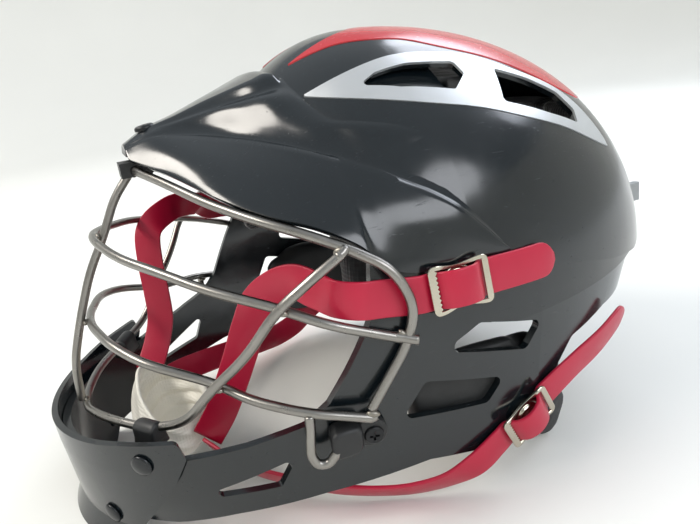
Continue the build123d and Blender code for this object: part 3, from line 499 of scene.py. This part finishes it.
def buckle_outline():
    """Matching outer and inner points of the plate, along the strap and across it."""
    half_l, half_w, inside_w = plate_length / 2, plate_width / 2, plate_width / 2 - rail
    outer, inner = [], []
    steps = 2 * tooth_count

    def round_corner(centre_u, start, inner_u):
        """Three points round one corner, all drawn to the same inner point."""
        for k in range(1, 4):
            angle = start - math.pi / 2 * k / 4
            v = half_w - corner + corner * math.sin(angle)
            outer.append((centre_u + corner * math.cos(angle), v))
            inner.append((inner_u, inside_w))

    for k in range(steps + 1):
        v = -inside_w + 2 * inside_w * k / steps
        tooth = tooth_depth if k % 2 else 0.0
        outer.append((-half_l, v * (half_w - corner) / inside_w))
        inner.append((-half_l + front_bar + tooth, v))
    round_corner(-half_l + corner, math.pi, -half_l + front_bar)
    for k in range(rail_steps + 1):
        share = k / rail_steps
        u = -half_l + corner + (plate_length - 2 * corner) * share
        inner_u = -half_l + front_bar + (plate_length - front_bar - rear_bar) * share
        turn = rail_turn * 0.5 * (1 - math.cos(2 * math.pi * share))
        outer.append((u, half_w - turn))
        inner.append((inner_u, inside_w - turn * inner_turn_share))
    round_corner(half_l - corner, math.pi / 2, half_l - rear_bar)
    outer.append((half_l, half_w - corner))
    inner.append((half_l - rear_bar, inside_w))
    outer += [(u, -v) for u, v in reversed(outer[steps + 1:])]
    inner += [(u, -v) for u, v in reversed(inner[steps + 1:])]
    return outer, inner


def rail_height(u):
    """How far the plate dips at a place along the strap."""
    share = min(abs(u) / (plate_length / 2 - front_bar), 1.0)
    return -rail_dip * 0.5 * (1 + math.cos(math.pi * share))


def buckle_mesh():
    """Points and faces of the plate, its section carried round both outlines."""
    outer, inner = buckle_outline()
    verts, faces = [], []
    count, around = len(outer), len(plate_section)
    for (outer_u, outer_v), (inner_u, inner_v) in zip(outer, inner):
        for share, height in plate_section:
            u = outer_u + (inner_u - outer_u) * share
            v = outer_v + (inner_v - outer_v) * share
            verts.append((u, v, height + plate_lift + rail_height(u)))
    for i in range(count):
        here, there = i * around, (i + 1) % count * around
        for k in range(around):
            turned = (k + 1) % around
            faces.append((here + k, here + turned, there + turned, there + k))
    return verts, faces


# %% [markdown]
# The snap is a turned form with rings, so its profile is spun. Each buckle has a seat: the
# snap's middle in millimetres, the way the strap runs over it, and the way it faces.

# %% Snaps, and the buckles in their places
def spun(profile, turns=40):
    """Points and faces of a profile of radius and height, spun, without caps at its ends."""
    ring = circle(turns)
    sections = [[(radius * c, radius * s, height) for c, s in ring] for radius, height in profile]
    verts, faces = swept(sections)
    return verts, faces[2:]


snap_profile = [
    (0.02, 1.6), (6.6, 1.6), (7.3, 1.5), (7.6, 1.8), (7.4, 2.2), (6.8, 2.3), (6.5, 2.0), (6.0, 2.0),
    (5.7, 2.4), (5.3, 3.3), (4.9, 3.5), (4.4, 3.3), (4.0, 3.4), (3.6, 4.2), (2.6, 4.8), (1.3, 5.0),
    (0.02, 5.05),
]
seats = {
    "upper": ((109.017, -12.48, 100.071), (0.0536, 0.9985, 0.0096), (0.9830, -0.0545, 0.1755)),
    "lower": ((103.677, 17.966, 31.007), (-0.0259, 0.8806, 0.4731), (0.9862, 0.0999, -0.1320)),
}


def on_seat(verts, seat, hand):
    """Points from along, across and above a snap to the helmet, on either side of it."""
    origin, along, out = (Vector(item) for item in seat)
    across = out.cross(along)
    placed = [origin + along * u + across * v + out * w for u, v, w in verts]
    return [(point.x * hand, point.y, point.z) for point in placed]


for level, seat in seats.items():
    for side_name, hand in SIDES:
        name = "buckle_" + level + "_" + side_name
        for part, (verts, faces), smooth in (
            ("_plate", buckle_mesh(), False), ("_snap", spun(snap_profile), True),
        ):
            placed = on_seat(verts, seat, hand)
            piece = new_piece(name + part, placed, faces, buckle_nickel, name, "buckle_steel", smooth)
            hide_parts(name)
print("buckles", len(seats) * len(SIDES))

# %% [markdown]
# The visor is a thin moulding over the face opening, like the peak of a cap. It has a raised
# block along its middle, a shelf on each side, and a sharp raised edge that runs back to
# the ear with a hollow band above it. Its form is a net: rows across the helmet, each with
# the same ten places from the middle outwards. Subdivision smooths the skin between them,
# creases keep the ridges sharp, and Solidify gives the wall. The last rows dive under the
# shell.

# %% Rows of the visor, in millimetres: y, then ten pairs of x and z
visor_wall, visor_step, visor_edge, skin_levels = 2.6, 3.0, 0.7, 2
visor_rows = [
    (-109, ((0, 161.4), (1.5, 161.4), (3, 161.2), (4, 161), (5.5, 160.6), (6.5, 160.2), (7.3, 160),
      (8, 159.8), (11, 158.4), (14, 156.4))),
    (-98, ((0, 166.9), (4, 166.8), (6, 166), (7.5, 165.5), (9.5, 164.9), (11, 164), (12, 163.5),
      (13, 163.4), (23, 158.2), (34, 150.2))),
    (-86, ((0, 170.3), (6, 170), (9, 168.2), (11.5, 167.6), (14, 165.6), (17, 163.6), (19, 162.6),
      (20.5, 162.7), (42, 155.2), (63, 142.6))),
    (-72, ((0, 175), (10, 174.5), (15, 171), (19, 170.3), (25, 164.2), (29, 161.4), (32, 160.2),
      (34, 160.6), (61, 151.2), (84.5, 135.4))),
    (-60, ((0, 179), (17, 178), (22, 173.4), (31, 172.4), (41, 163.4), (46, 159.4), (50, 157.2),
      (52.5, 158.1), (77, 147.5), (95, 131))),
    (-50, ((0, 182.8), (24, 180.8), (30, 175.4), (41, 173.6), (53, 162.4), (60, 156.4),
      (65.5, 153.2), (68, 154.6), (87, 143), (101, 125))),
    (-43.5, ((0, 184.6), (25, 182.1), (31, 176.4), (43, 173.4), (60.5, 161.8), (67.5, 154.6),
      (72.5, 150.4), (75, 151.8), (91.5, 140), (104, 119.5))),
    (-41.5, ((0, 183.4), (25, 179.6), (32, 176.4), (45, 172.4), (62, 161.4), (68.5, 154.8),
      (74, 149.6), (76.5, 151), (92.5, 138.8), (104.4, 116))),
    (-36, ((0, 183.2), (23, 180.6), (33, 177), (55, 166.2), (66.5, 160.5), (70, 155.3), (78.8, 146),
      (81.5, 148.4), (96.2, 136), (105.5, 111))),
    (-28, ((0, 187.4), (22, 184.9), (33, 181.6), (63, 164.8), (74, 159.1), (77.3, 153.7),
      (85.8, 142.4), (88.5, 143.9), (101, 131), (106.4, 108))),
    (-20, ((0, 190.8), (22, 188.4), (33, 185.3), (69, 164), (79.5, 157.4), (82.6, 152),
      (92.2, 137.8), (94.8, 138.4), (104, 126.6), (107.2, 107))),
    (-12, ((0, 193), (22, 190.7), (33, 187.6), (73, 163.2), (83.5, 155.2), (86.5, 150), (97, 133.4),
      (99.4, 133.2), (106, 122.6), (107.6, 106))),
    (-5, ((0, 194.2), (22, 191.8), (33, 188.8), (75.5, 162.2), (85.8, 152.8), (88.8, 148),
      (100.8, 128), (102.9, 127.3), (107, 118.6), (107.8, 105.5))),
    (2, ((0, 194.4), (22, 192), (33, 189), (77.5, 160.2), (87.6, 149.4), (90.6, 145.1),
      (103.6, 120.8), (105.3, 119.9), (107.8, 113), (107.9, 105))),
    (8, ((0, 194.2), (22, 191.9), (33, 188.8), (78.3, 158.8), (87.9, 147.2), (90.6, 143.2),
      (105.4, 113.9), (107, 113), (108, 108.6), (108, 104))),
    (14, ((0, 193.9), (22, 191.5), (33, 188.5), (78.2, 157.4), (87.6, 146), (90.2, 142.4),
      (106, 108), (107.2, 107), (107.4, 105), (107.2, 103))),
    (18, ((0, 193.6), (22, 191.2), (33, 188.2), (77.6, 156.6), (86.6, 145.4), (89.2, 141.8),
      (104.9, 107.6), (105.6, 106), (105.8, 104.4), (105.8, 102.6))),
]
crease_columns = {1: 0.8, 2: 0.6, 3: 0.35, 4: 0.95, 7: 0.95}

# %% The visor's net, skin and wall
def soften(piece, width_mm, segments=2, angle=0.6):
    """Bevel sharp edges by a fraction of a millimetre."""
    bevel = piece.modifiers.new("edge", "BEVEL")
    bevel.width = width_mm * MM
    bevel.segments = segments
    bevel.limit_method = "ANGLE"
    bevel.angle_limit = angle


flat_rows = [
    (pairs[0][0], y, pairs[0][1], *[value for pair in pairs[1:] for value in pair])
    for y, pairs in visor_rows
]
verts, faces = [], []
for row in smooth_line(flat_rows, visor_step):
    places = [(row[0], row[2])] + [(row[k], row[k + 1]) for k in range(3, len(row), 2)]
    verts += [(-x, row[1], z) for x, z in reversed(places[1:])]
    verts += [(x, row[1], z) for x, z in places]
across = 2 * len(visor_rows[0][1]) - 1
for i in range(len(verts) // across - 1):
    for k in range(across - 1):
        a = i * across + k
        faces.append((a, a + 1, a + across + 1, a + across))
visor = new_piece("brow_visor", verts, faces, shell_black, "helmet", "black_shell")
marked = bmesh.new()
marked.from_mesh(visor.data)
if sum(face.normal.z for face in marked.faces) < 0:
    bmesh.ops.reverse_faces(marked, faces=marked.faces)
sharpness = marked.edges.layers.float.new("crease_edge")
for edge in marked.edges:
    columns = [vert.index % across for vert in edge.verts]
    if columns[0] == columns[1]:
        edge[sharpness] = crease_columns.get(abs(columns[0] - across // 2), 0.0)
marked.to_mesh(visor.data)
marked.free()
skin = visor.modifiers.new("skin", "SUBSURF")
skin.levels = skin.render_levels = skin_levels
skin.boundary_smooth = "PRESERVE_CORNERS"
wall = visor.modifiers.new("wall", "SOLIDIFY")
wall.thickness = visor_wall * MM
wall.offset = -1.0
soften(visor, visor_edge, angle=1.0)
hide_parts("visor")
print("visor rows", len(verts) // across, "places", across)

# %% [markdown]
# The cage is welded from one gauge of wire. A weld is a small fillet of melted steel that
# wraps both wires. Each bar gets a short stub that carries it on to the wire it meets, and
# a soft lump where they touch: a long spun form that lies along the wire.

# %% Wire stubs and welds
wire_radius = 1.9
wire_stubs = {
    "upper_bar": (
        (110.0, -40.9, 87.9), (111.2, -38.6, 87.2), (112.8, -35.8, 86.3), (114.2, -33.2, 85.6),
    ),
    "middle_bar": ((107.6, -55.0, 58.2), (108.2, -53.4, 57.8), (108.4, -51.6, 58.4)),
    "chin_wire": ((102.3, -55.6, 119.7), (102.3, -53.4, 120.6), (101.5, -51.2, 122.2)),
}
weld_spots = {
    "upper_cheek": ((111.3, -37.7, 88.0), (0.2, 0.5, -0.8)),
    "middle_cheek": ((108.9, -52.8, 59.6), (0.4, 0.9, -0.2)),
    "chin_cheek": ((101.3, -53.4, 121.8), (0.4, 0.8, 0.3)),
    "upper_chin": ((95.7, -76.8, 103.0), (0.6, 0.7, -0.3)),
    "middle_chin": ((75.0, -101.7, 71.3), (0.8, 0.6, -0.1)),
    "hook": ((99.2, -73.6, 61.4), (0.6, 0.75, -0.2)),
}
middle_weld_spots = {
    "upper_middle": (0.0, -128.4, 124.1), "lower_middle": (0.0, -143.3, 86.5),
    "chin_middle": (0.0, -151.8, 49.9), "brow_middle": (0.0, -107.3, 147.8),
}


def tube(points, hand):
    """Points and faces of a wire through a few points in millimetres, on either side."""
    rows = smooth_line([(x * hand, y, z, 0.0) for x, y, z in points], 1.0)
    sections = []
    side = Vector((0.3, 0.2, 1.0))
    for i, row in enumerate(rows):
        along = heading_at(rows, i)
        first = (side - along * side.dot(along)).normalized()
        second = along.cross(first)
        centre = Vector(row[:3])
        ring = [centre + (first * c + second * s) * wire_radius for c, s in circle(20)]
        sections.append(ring)
    return swept(sections)


def placed_spin(profile, spot, facing, hand, turns=40):
    """A spun form moved to a place on the left or right and turned to face outwards."""
    verts, faces = spun(profile, turns)
    turn = Vector((facing[0] * hand, facing[1], facing[2])).to_track_quat("Z", "Y")
    centre = Vector((spot[0] * hand, spot[1], spot[2]))
    return [centre + turn @ Vector(vert) for vert in verts], faces


def add_weld(name, spot, along, hand):
    """One lump of weld where two wires touch."""
    made = placed_spin(weld_profile, spot, along, hand, 20)
    new_piece("weld_" + name, *made, weld_steel, "helmet", "cage_steel")


weld_profile = [
    (0.02, -2.7), (0.65, -2.4), (1.15, -1.6), (1.4, -0.6), (1.4, 0.5), (1.15, 1.5), (0.65, 2.4),
    (0.02, 2.7),
]
for side_name, hand in SIDES:
    for name, points in wire_stubs.items():
        stub = "wire_stub_" + name + "_" + side_name
        new_piece(stub, *tube(points, hand), wire_steel, "helmet", "cage_steel")
    for name, (spot, along) in weld_spots.items():
        add_weld(name + "_" + side_name, spot, along, hand)
for name, spot in middle_weld_spots.items():
    add_weld(name, spot, (1.0, 0.0, 0.0), 1)
print("stubs", len(wire_stubs), "welds", len(weld_spots), "on each side")

# %% [markdown]
# The guard is held by black rivets with broad flat domes. A head's profile is spun too: a
# flat underside, a thin rolled rim and a low dome.

# %% Rivet heads
rivet_profile = [
    (0.02, -0.4), (4.0, -0.4), (4.55, -0.1), (4.7, 0.35), (4.45, 0.8), (3.6, 1.15), (2.2, 1.45),
    (1.0, 1.58), (0.02, 1.62),
]
rivet_spots = (
    ((64.83, -135.19, 44.68), (0.74, -0.66, -0.10)), ((41.71, -151.69, 13.62), (0.55, -0.83, -0.10)),
)
for side_name, hand in SIDES:
    for k, (spot, facing) in enumerate(rivet_spots):
        made = placed_spin(rivet_profile, spot, facing, hand)
        name = f"rivet_head_{side_name}_{k + 1}"
        rivet = new_piece(name, *made, rivet_black, "helmet", "dark_steel")
        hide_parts("guard_rivets")
print("rivet heads", 2 * len(rivet_spots))

# %% [markdown]
# The chin wire lies in two short nylon sleeves on the rim of the guard. A sleeve is a strip
# folded over the wire with both its feet on the guard, so its section is an arch, carried a
# short way along the wire with its ends rounded over.

# %% Chin sleeves
sleeve_length, sleeve_rise, sleeve_half = 13.5, 3.4, 3.9
sleeve_centre, sleeve_turn, sleeve_climb = Vector((51.9, -129.0, 52.6)), math.radians(30.0), 0.07
foot_flare, foot_drop, knee_drop = 0.8, 6.4, 3.2
sleeve_ends = ((0.0, 1.2), (0.25, 0.55), (0.8, 0.12), (1.6, 0.0))


def sleeve_section(shrink):
    """Arch across the wire, from foot to foot, in millimetres from the wire's middle."""
    half, rise = sleeve_half - shrink, sleeve_rise - shrink
    foot = half + foot_flare - shrink
    arch = [(half * c, rise * s) for c, s in circle(24)[12::-1]]
    return [(-foot, -foot_drop), (-half, -knee_drop), *arch, (half, -knee_drop), (foot, -foot_drop)]


along = Vector((math.cos(sleeve_turn), math.sin(sleeve_turn), sleeve_climb)).normalized()
outward = Vector((math.sin(sleeve_turn), -math.cos(sleeve_turn), 0.0))
steps = list(sleeve_ends) + [(sleeve_length - gone, shrink) for gone, shrink in sleeve_ends[::-1]]
for side_name, hand in SIDES:
    sections = []
    for gone, shrink in steps:
        place = sleeve_centre + along * (gone - sleeve_length / 2)
        ring = [place + outward * u + Vector((0, 0, v)) for u, v in sleeve_section(shrink)]
        sections.append([(point.x * hand, point.y, point.z) for point in ring])
    sleeve = new_piece(
        "chin_sleeve_" + side_name, *swept(sections), clip_nylon, "helmet", "clip_plastic"
    )
    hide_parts("chin_clip_" + side_name)
print("chin sleeves", len(SIDES))

# %% [markdown]
# The cage ends on each cheek in a hook: the wire drops straight down from the lower bar, turns
# up in a tight bend and runs back into the jaw clip.

# %% Cage hooks
hook_path = (
    (100.4, -74.6, 62.5), (100.9, -75.1, 57.0), (101.0, -76.2, 50.0), (101.2, -76.4, 46.0),
    (101.9, -74.4, 42.4), (103.0, -71.2, 42.2), (104.0, -68.4, 45.0), (104.4, -66.0, 48.0),
)
for side_name, hand in SIDES:
    made = tube(hook_path, hand)
    hook = new_piece("wire_hook_" + side_name, *made, wire_steel, "helmet", "cage_steel")
    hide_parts("cage_hook_" + side_name)
print("hooks", len(SIDES))

# %% [markdown]
# The hook is held on the jaw by a nylon clip. A block grips the wire and leans out over it,
# and behind it a thin round tab lies under the screw's head, which is a CAD solid. Each is
# an outline raised in levels that draw in towards the top, with its edges softened.

# %% Jaw clips
jaw_centre = Vector((104.6, -52.2, 48.5))
jaw_facing = Vector((0.96, -0.24, -0.13)).normalized()
block_outline = [
    (-16.2, 5.6), (-16.8, 1.5), (-16.4, -3.2), (-14.6, -5.3), (-10.0, -5.6), (-6.0, -5.2),
    (-4.4, -3.6), (-4.0, 0.8), (-4.2, 5.2), (-5.6, 6.9), (-10.0, 7.3), (-14.4, 7.0),
]
tab_radius, tab_u, tab_v = 6.3, -0.6, 1.0
tab_outline = [(tab_u + tab_radius * c, tab_v + tab_radius * s) for c, s in circle(28)]


def jaw_place(u, v, w, hand):
    """Point from backwards, up and outwards of the jaw screw to the helmet."""
    up = (Vector((0, 0, 1)) - jaw_facing * jaw_facing.z).normalized()
    back = up.cross(jaw_facing)
    point = jaw_centre + back * u + up * v + jaw_facing * w
    return (point.x * hand, point.y, point.z)


def pressed(outline, levels, lean, hand):
    """Outline raised through levels of depth and spread, leaning out towards the front."""
    middle_u, middle_v = (sum(values) / len(outline) for values in zip(*outline))
    sections = []
    for depth, spread in levels:
        ring = []
        for u, v in outline:
            wide_u, wide_v = middle_u + (u - middle_u) * spread, middle_v + (v - middle_v) * spread
            rise = lean * (middle_u - wide_u) if depth > 0 else 0.0
            ring.append(jaw_place(wide_u, wide_v, depth + rise, hand))
        sections.append(ring)
    return swept(sections)


block_levels = ((-3.0, 1.0), (2.6, 1.0), (4.0, 0.93), (4.7, 0.78))
tab_levels = ((-3.0, 1.0), (0.1, 1.0), (0.5, 0.94))
block_lean, tab_lean, clip_edge = 0.16, 0.02, 0.5
for side_name, hand in SIDES:
    for name, outline, levels, lean in (
        ("jaw_grip_", block_outline, block_levels, block_lean),
        ("jaw_tab_", tab_outline, tab_levels, tab_lean),
    ):
        made = pressed(outline, levels, lean, hand)
        clip = new_piece(name + side_name, *made, clip_nylon, "helmet", "clip_plastic")
        soften(clip, clip_edge, 3, 0.4)
        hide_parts("jaw_clip_" + side_name)
print("jaw clips", len(SIDES))

# %% [markdown]
# The pads are foam in a knitted cover, so their edges are round and their faces are full.
# Each starts as a copy of its CAD solid, drawn in a little so that it ends up in the same
# space. A voxel remesh gives it even small faces, and Blender's cloth with air pressure and
# no gravity swells it as a cover swells over foam. No point may move further than a cap.
# Sewn channels come last: points near a seam are pressed in along their normals. A foam's
# three values are the remesh's grain, how far it is drawn in, and the cap.

# %% A pad from a CAD solid
cover_pressure, cloth_frames = 4.0, 20
body_of = {
    node: body for body, members in frame["record"]["behaviour"]["bodies"].items() for node in members
}


def settled(piece):
    """Bake a piece's modifiers into its mesh."""
    ready = piece.evaluated_get(bpy.context.evaluated_depsgraph_get())
    baked = bpy.data.meshes.new_from_object(ready)
    piece.modifiers.clear()
    piece.data = baked


def swell(piece, cap_mm):
    """Swell a closed mesh by cloth under pressure, no point further than the cap."""
    start = [vert.co.copy() for vert in piece.data.vertices]
    cloth = piece.modifiers.new("cloth", "CLOTH")
    cloth.settings.use_pressure = True
    cloth.settings.uniform_pressure_force = cover_pressure
    cloth.settings.effector_weights.gravity = 0.0
    cloth.point_cache.frame_end = cloth_frames
    for frame_number in range(1, cloth_frames + 1):
        bpy.context.scene.frame_set(frame_number)
    settled(piece)
    for vert, home in zip(piece.data.vertices, start):
        gone = vert.co - home
        if gone.length > cap_mm * MM:
            vert.co = home + gone.normalized() * cap_mm * MM
    bpy.context.scene.frame_set(1)


def sew(piece, axis, seams_mm, half_width_mm, depth_mm):
    """Press channels into a pad where planes across an axis cut it."""
    moves = []
    for vert in piece.data.vertices:
        push = 0.0
        for seam in seams_mm:
            near = abs(vert.co[axis] / MM - seam) / half_width_mm
            if near < 1:
                push += (1 - near**2) ** 2
        moves.append(vert.normal * push * depth_mm * MM)
    for vert, move in zip(piece.data.vertices, moves):
        vert.co -= move
    piece.data.update()


def make_pad(name, node, material, voxel_mm, drawn_in_mm, cap_mm, seams=None, fill=0.6, rounds=8):
    """Padded piece that stands in for a soft CAD solid."""
    piece = add_object(name, nodes[node].data.copy())
    even = piece.modifiers.new("even", "REMESH")
    even.mode = "VOXEL"
    even.voxel_size = voxel_mm * MM
    ease = piece.modifiers.new("ease", "SMOOTH")
    ease.factor = 0.5
    ease.iterations = rounds
    settled(piece)
    for vert, normal in [(vert, vert.normal.copy()) for vert in piece.data.vertices]:
        vert.co -= normal * drawn_in_mm * MM
    swell(piece, cap_mm)
    finer = piece.modifiers.new("finer", "SUBSURF")
    finer.levels = finer.render_levels = 1
    settled(piece)
    if seams:
        sew(piece, *seams)
    smoother = piece.modifiers.new("smoother", "SUBSURF")
    smoother.levels = smoother.render_levels = 1
    piece.data.polygons.foreach_set("use_smooth", [True] * len(piece.data.polygons))
    piece.data.materials.clear()
    piece.data.materials.append(material)
    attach(piece, body_of[node])
    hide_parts(node)
    print(name, "from", node, "with", len(piece.data.vertices), "points")


# %% Liner, nape and ear pads
across_head, along_head = 0, 1
thick_foam, thin_foam, nape_fill = (4.0, 0.9, 1.6), (4.0, 0.8, 1.4), (2.5, 0.3, 0.8)
crown_seams = (along_head, (-5.0, 36.0), 4.5, 2.2)
side_seams = (along_head, (-2.0, 46.0), 4.5, 2.2)
brow_seams = (across_head, (-18.0, 18.0), 4.5, 1.8)
rear_seams = (across_head, (-21.0, 21.0), 4.5, 2.0)
nape_seams = (across_head, (-17.0, 17.0), 3.0, 1.0)
make_pad("crown_foam", "liner_crown", liner_knit, *thick_foam, crown_seams)
for name, _ in SIDES:
    make_pad("side_foam_" + name, "liner_" + name, liner_knit, *thick_foam, side_seams)
make_pad("brow_foam", "liner_front", liner_knit, *thin_foam, brow_seams)
make_pad("rear_foam", "liner_rear", liner_knit, *thick_foam, rear_seams)
make_pad("nape_foam", "nape_pad", liner_knit, *nape_fill, nape_seams, rounds=4)
for name, _ in SIDES:
    make_pad("ear_roll_" + name, "ear_pad_" + name, ear_foam, *thin_foam, fill=0.8, rounds=10)

# %% [markdown]
# The chin cup is a sling of ivory tricot over thin foam, and the pull of the straps folds
# the cloth in slanting pleats. It is one closed form in polar rings: up the outside from the
# lowest point, over a rolled rim and down the inside. In front the rim rises to a tongue and
# leans inwards. A pleat is a ridge that slants down the wall, sharp on its crest.

# %% The chin sling
cup_centre, cup_half, cup_floor = (2.0, -116.6), (32.0, 20.6), 15.2
tongue_turn = math.radians(235.0)
cloth_thickness, pleat_rise, pleats_up, pleats_round = 3.6, 2.2, 4.2, 5
rim_height, tongue_rise, tongue_tip, tongue_lean, side_pinch = 37.0, 7.5, 3.5, 0.34, 0.22
wall_bulge, bowl_depth, floor_thinning = 0.55, 1.15, 0.75
pleat_start, rim_start, rim_calm = 0.45, 0.92, 0.55
steps_round, steps_up, lowest_climb = 112, 34, 0.04


def cup_point(turn, climb, depth):
    """Point on the sling's wall: turn about it, climb from 0 to 1, depth into the cloth."""
    tongue = max(math.cos(turn - tongue_turn), 0.0)
    rim = rim_height + tongue_rise * tongue + tongue_tip * tongue**4
    lean = tongue_lean * climb**4 * max(-math.sin(turn), 0.0)
    pinch = 1.0 - side_pinch * abs(math.cos(turn)) ** 3
    spread = math.sin(math.pi / 2 * climb) ** wall_bulge
    rise = (1 - math.cos(math.pi / 2 * climb)) ** bowl_depth
    fold = pleats_up * climb + pleats_round * turn / (2 * math.pi)
    ridge = 1 - abs(math.sin(math.pi * fold))
    fade = min(climb / pleat_start, 1.0) * (1.0 if climb < rim_start else rim_calm)
    inwards = depth - pleat_rise * ridge * fade
    x = cup_centre[0] + (cup_half[0] - inwards) * spread * math.cos(turn)
    y = cup_centre[1] + (cup_half[1] - inwards) * spread * math.sin(turn) * pinch * (1 - lean)
    floor = cup_floor + depth * (1 - floor_thinning * climb)
    return (x, y, floor + (rim - floor) * rise)


sections = []
turns = [2 * math.pi * k / steps_round for k in range(steps_round)]
climbs = [lowest_climb + (1 - lowest_climb) * i / steps_up for i in range(steps_up + 1)]
for climb in climbs:
    sections.append([cup_point(turn, climb, 1.0) for turn in turns])
for k in range(1, 6):
    angle = math.pi * k / 6
    depth = 1.0 + cloth_thickness / 2 * (1 - math.cos(angle))
    ring = [cup_point(turn, 1.0, depth) for turn in turns]
    sections.append([(x, y, z + cloth_thickness / 2 * math.sin(angle)) for x, y, z in ring])
for climb in reversed(climbs):
    sections.append([cup_point(turn, climb, 1.0 + cloth_thickness) for turn in turns])
sling = new_piece("chin_sling", *swept(sections), chin_knit, body_of["chin_cup"], "cup_fabric")
finer = sling.modifiers.new("finer", "SUBSURF")
finer.levels = finer.render_levels = 1
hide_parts("chin_cup", "chin_pad")
print("chin sling rings", len(sections))

# %% [markdown]
# The picture was taken from a third of a metre away, a little above the helmet and in front
# of its left ear, so near things look large. The camera stands there with a slight roll and
# the same field of view.

# %% The camera
picture_width, focal_pixels, sensor_width = 700, 650.0, 36.0
camera_spot = Vector((304.68, -130.33, 188.31)) * MM
camera = add_object("camera", bpy.data.cameras.new("camera"))
camera.data.sensor_width = sensor_width
camera.data.lens = sensor_width * focal_pixels / picture_width
right = Vector((0.4034, 0.9050, -0.1352))
down = Vector((0.2347, -0.2452, -0.9406))
ahead = right.cross(down)
turn = Matrix((right, -down, -ahead)).transposed().to_4x4()
camera.matrix_world = Matrix.Translation(camera_spot) @ turn
camera.data.clip_start = 0.01
bpy.context.scene.camera = camera
print("camera lens", round(camera.data.lens, 2), "mm")

# %% [markdown]
# A pale sweep carries the helmet: a flat floor that turns up into a low wall all round, so
# no horizon cuts the picture. The room glows white from above and is dim near the horizon,
# so black plastic turns grey on top and stays black down its flanks.

# %% Floor sweep and room light
floor_radius, bend_radius, wall_height = 1.6, 0.8, 1.3
profile = [(floor_radius, 0.0)]
profile += [(floor_radius + bend_radius * s, bend_radius * (1 - c)) for c, s in circle(48)[1:13]]
profile.append((floor_radius + bend_radius, wall_height))
sweep = bmesh.new()
turns = 72
rings = []
for radius, height in profile:
    rings.append([sweep.verts.new((radius * c, radius * s, height)) for c, s in circle(turns)])
sweep.faces.new(rings[0])
for low, high in zip(rings, rings[1:]):
    for k in range(turns):
        sweep.faces.new((low[k], low[(k + 1) % turns], high[(k + 1) % turns], high[k]))
bmesh.ops.recalc_face_normals(sweep, faces=sweep.faces)
bmesh.ops.reverse_faces(sweep, faces=sweep.faces)
for face in sweep.faces:
    face.smooth = True
floor_mesh = bpy.data.meshes.new("floor")
sweep.to_mesh(floor_mesh)
sweep.free()
floor = add_object("floor", floor_mesh)
paper = finish("matte_paper_sweep", ("e6e6e2", "ebebe7"), (0.8, 0.9), 300.0, 3.0, 0.02)[0]
floor_mesh.materials.append(paper)

room = bpy.data.worlds.new("white_room")
room.use_nodes = True
tree = room.node_tree
heading = add_node(tree, "ShaderNodeTexCoord").outputs["Generated"]
height = add_node(tree, "ShaderNodeSeparateXYZ", {}, {"Vector": heading}).outputs["Z"]
glow = add_node(
    tree, "ShaderNodeMapRange", {"interpolation_type": "SMOOTHSTEP"},
    {"Value": height, "From Min": -0.1, "From Max": 0.95, "To Min": 0.12, "To Max": 0.70},
)
backdrop = tree.nodes["Background"]
backdrop.inputs["Color"].default_value = linear("e8eff5")
tree.links.new(glow.outputs[0], backdrop.inputs["Strength"])
bpy.context.scene.world = room

# %% [markdown]
# Three wide softboxes light it: a long one in front, high up, whose streak runs over the
# visor, one at the near side and one behind. They are ellipses, so black plastic shows
# rounded lights. Whites stay clean and colours strong with the plain view transform.

# %% Softboxes
def softbox(name, place, target, size, watts, hex_colour):
    """Wide area light that looks at a point, size being its width and height."""
    lamp = bpy.data.lights.new(name, "AREA")
    lamp.shape = "ELLIPSE"
    lamp.size, lamp.size_y = size
    lamp.energy = watts
    lamp.color = linear(hex_colour)[:3]
    holder = add_object(name, lamp)
    holder.location = place
    holder.rotation_mode = "QUATERNION"
    holder.rotation_quaternion = (Vector(target) - Vector(place)).to_track_quat("-Z", "Y")


middle = (0.0, 0.0, 0.1)
softbox("key_softbox", (-0.35, -1.25, 1.5), middle, (2.0, 0.45), 30.0, "fff9f0")
softbox("side_softbox", (1.5, 0.5, 1.2), middle, (1.6, 0.7), 15.0, "f7faff")
softbox("rear_softbox", (-0.4, 1.1, 1.1), middle, (1.5, 0.7), 14.0, "eef4ff")
bpy.context.scene.view_settings.view_transform = "Standard"
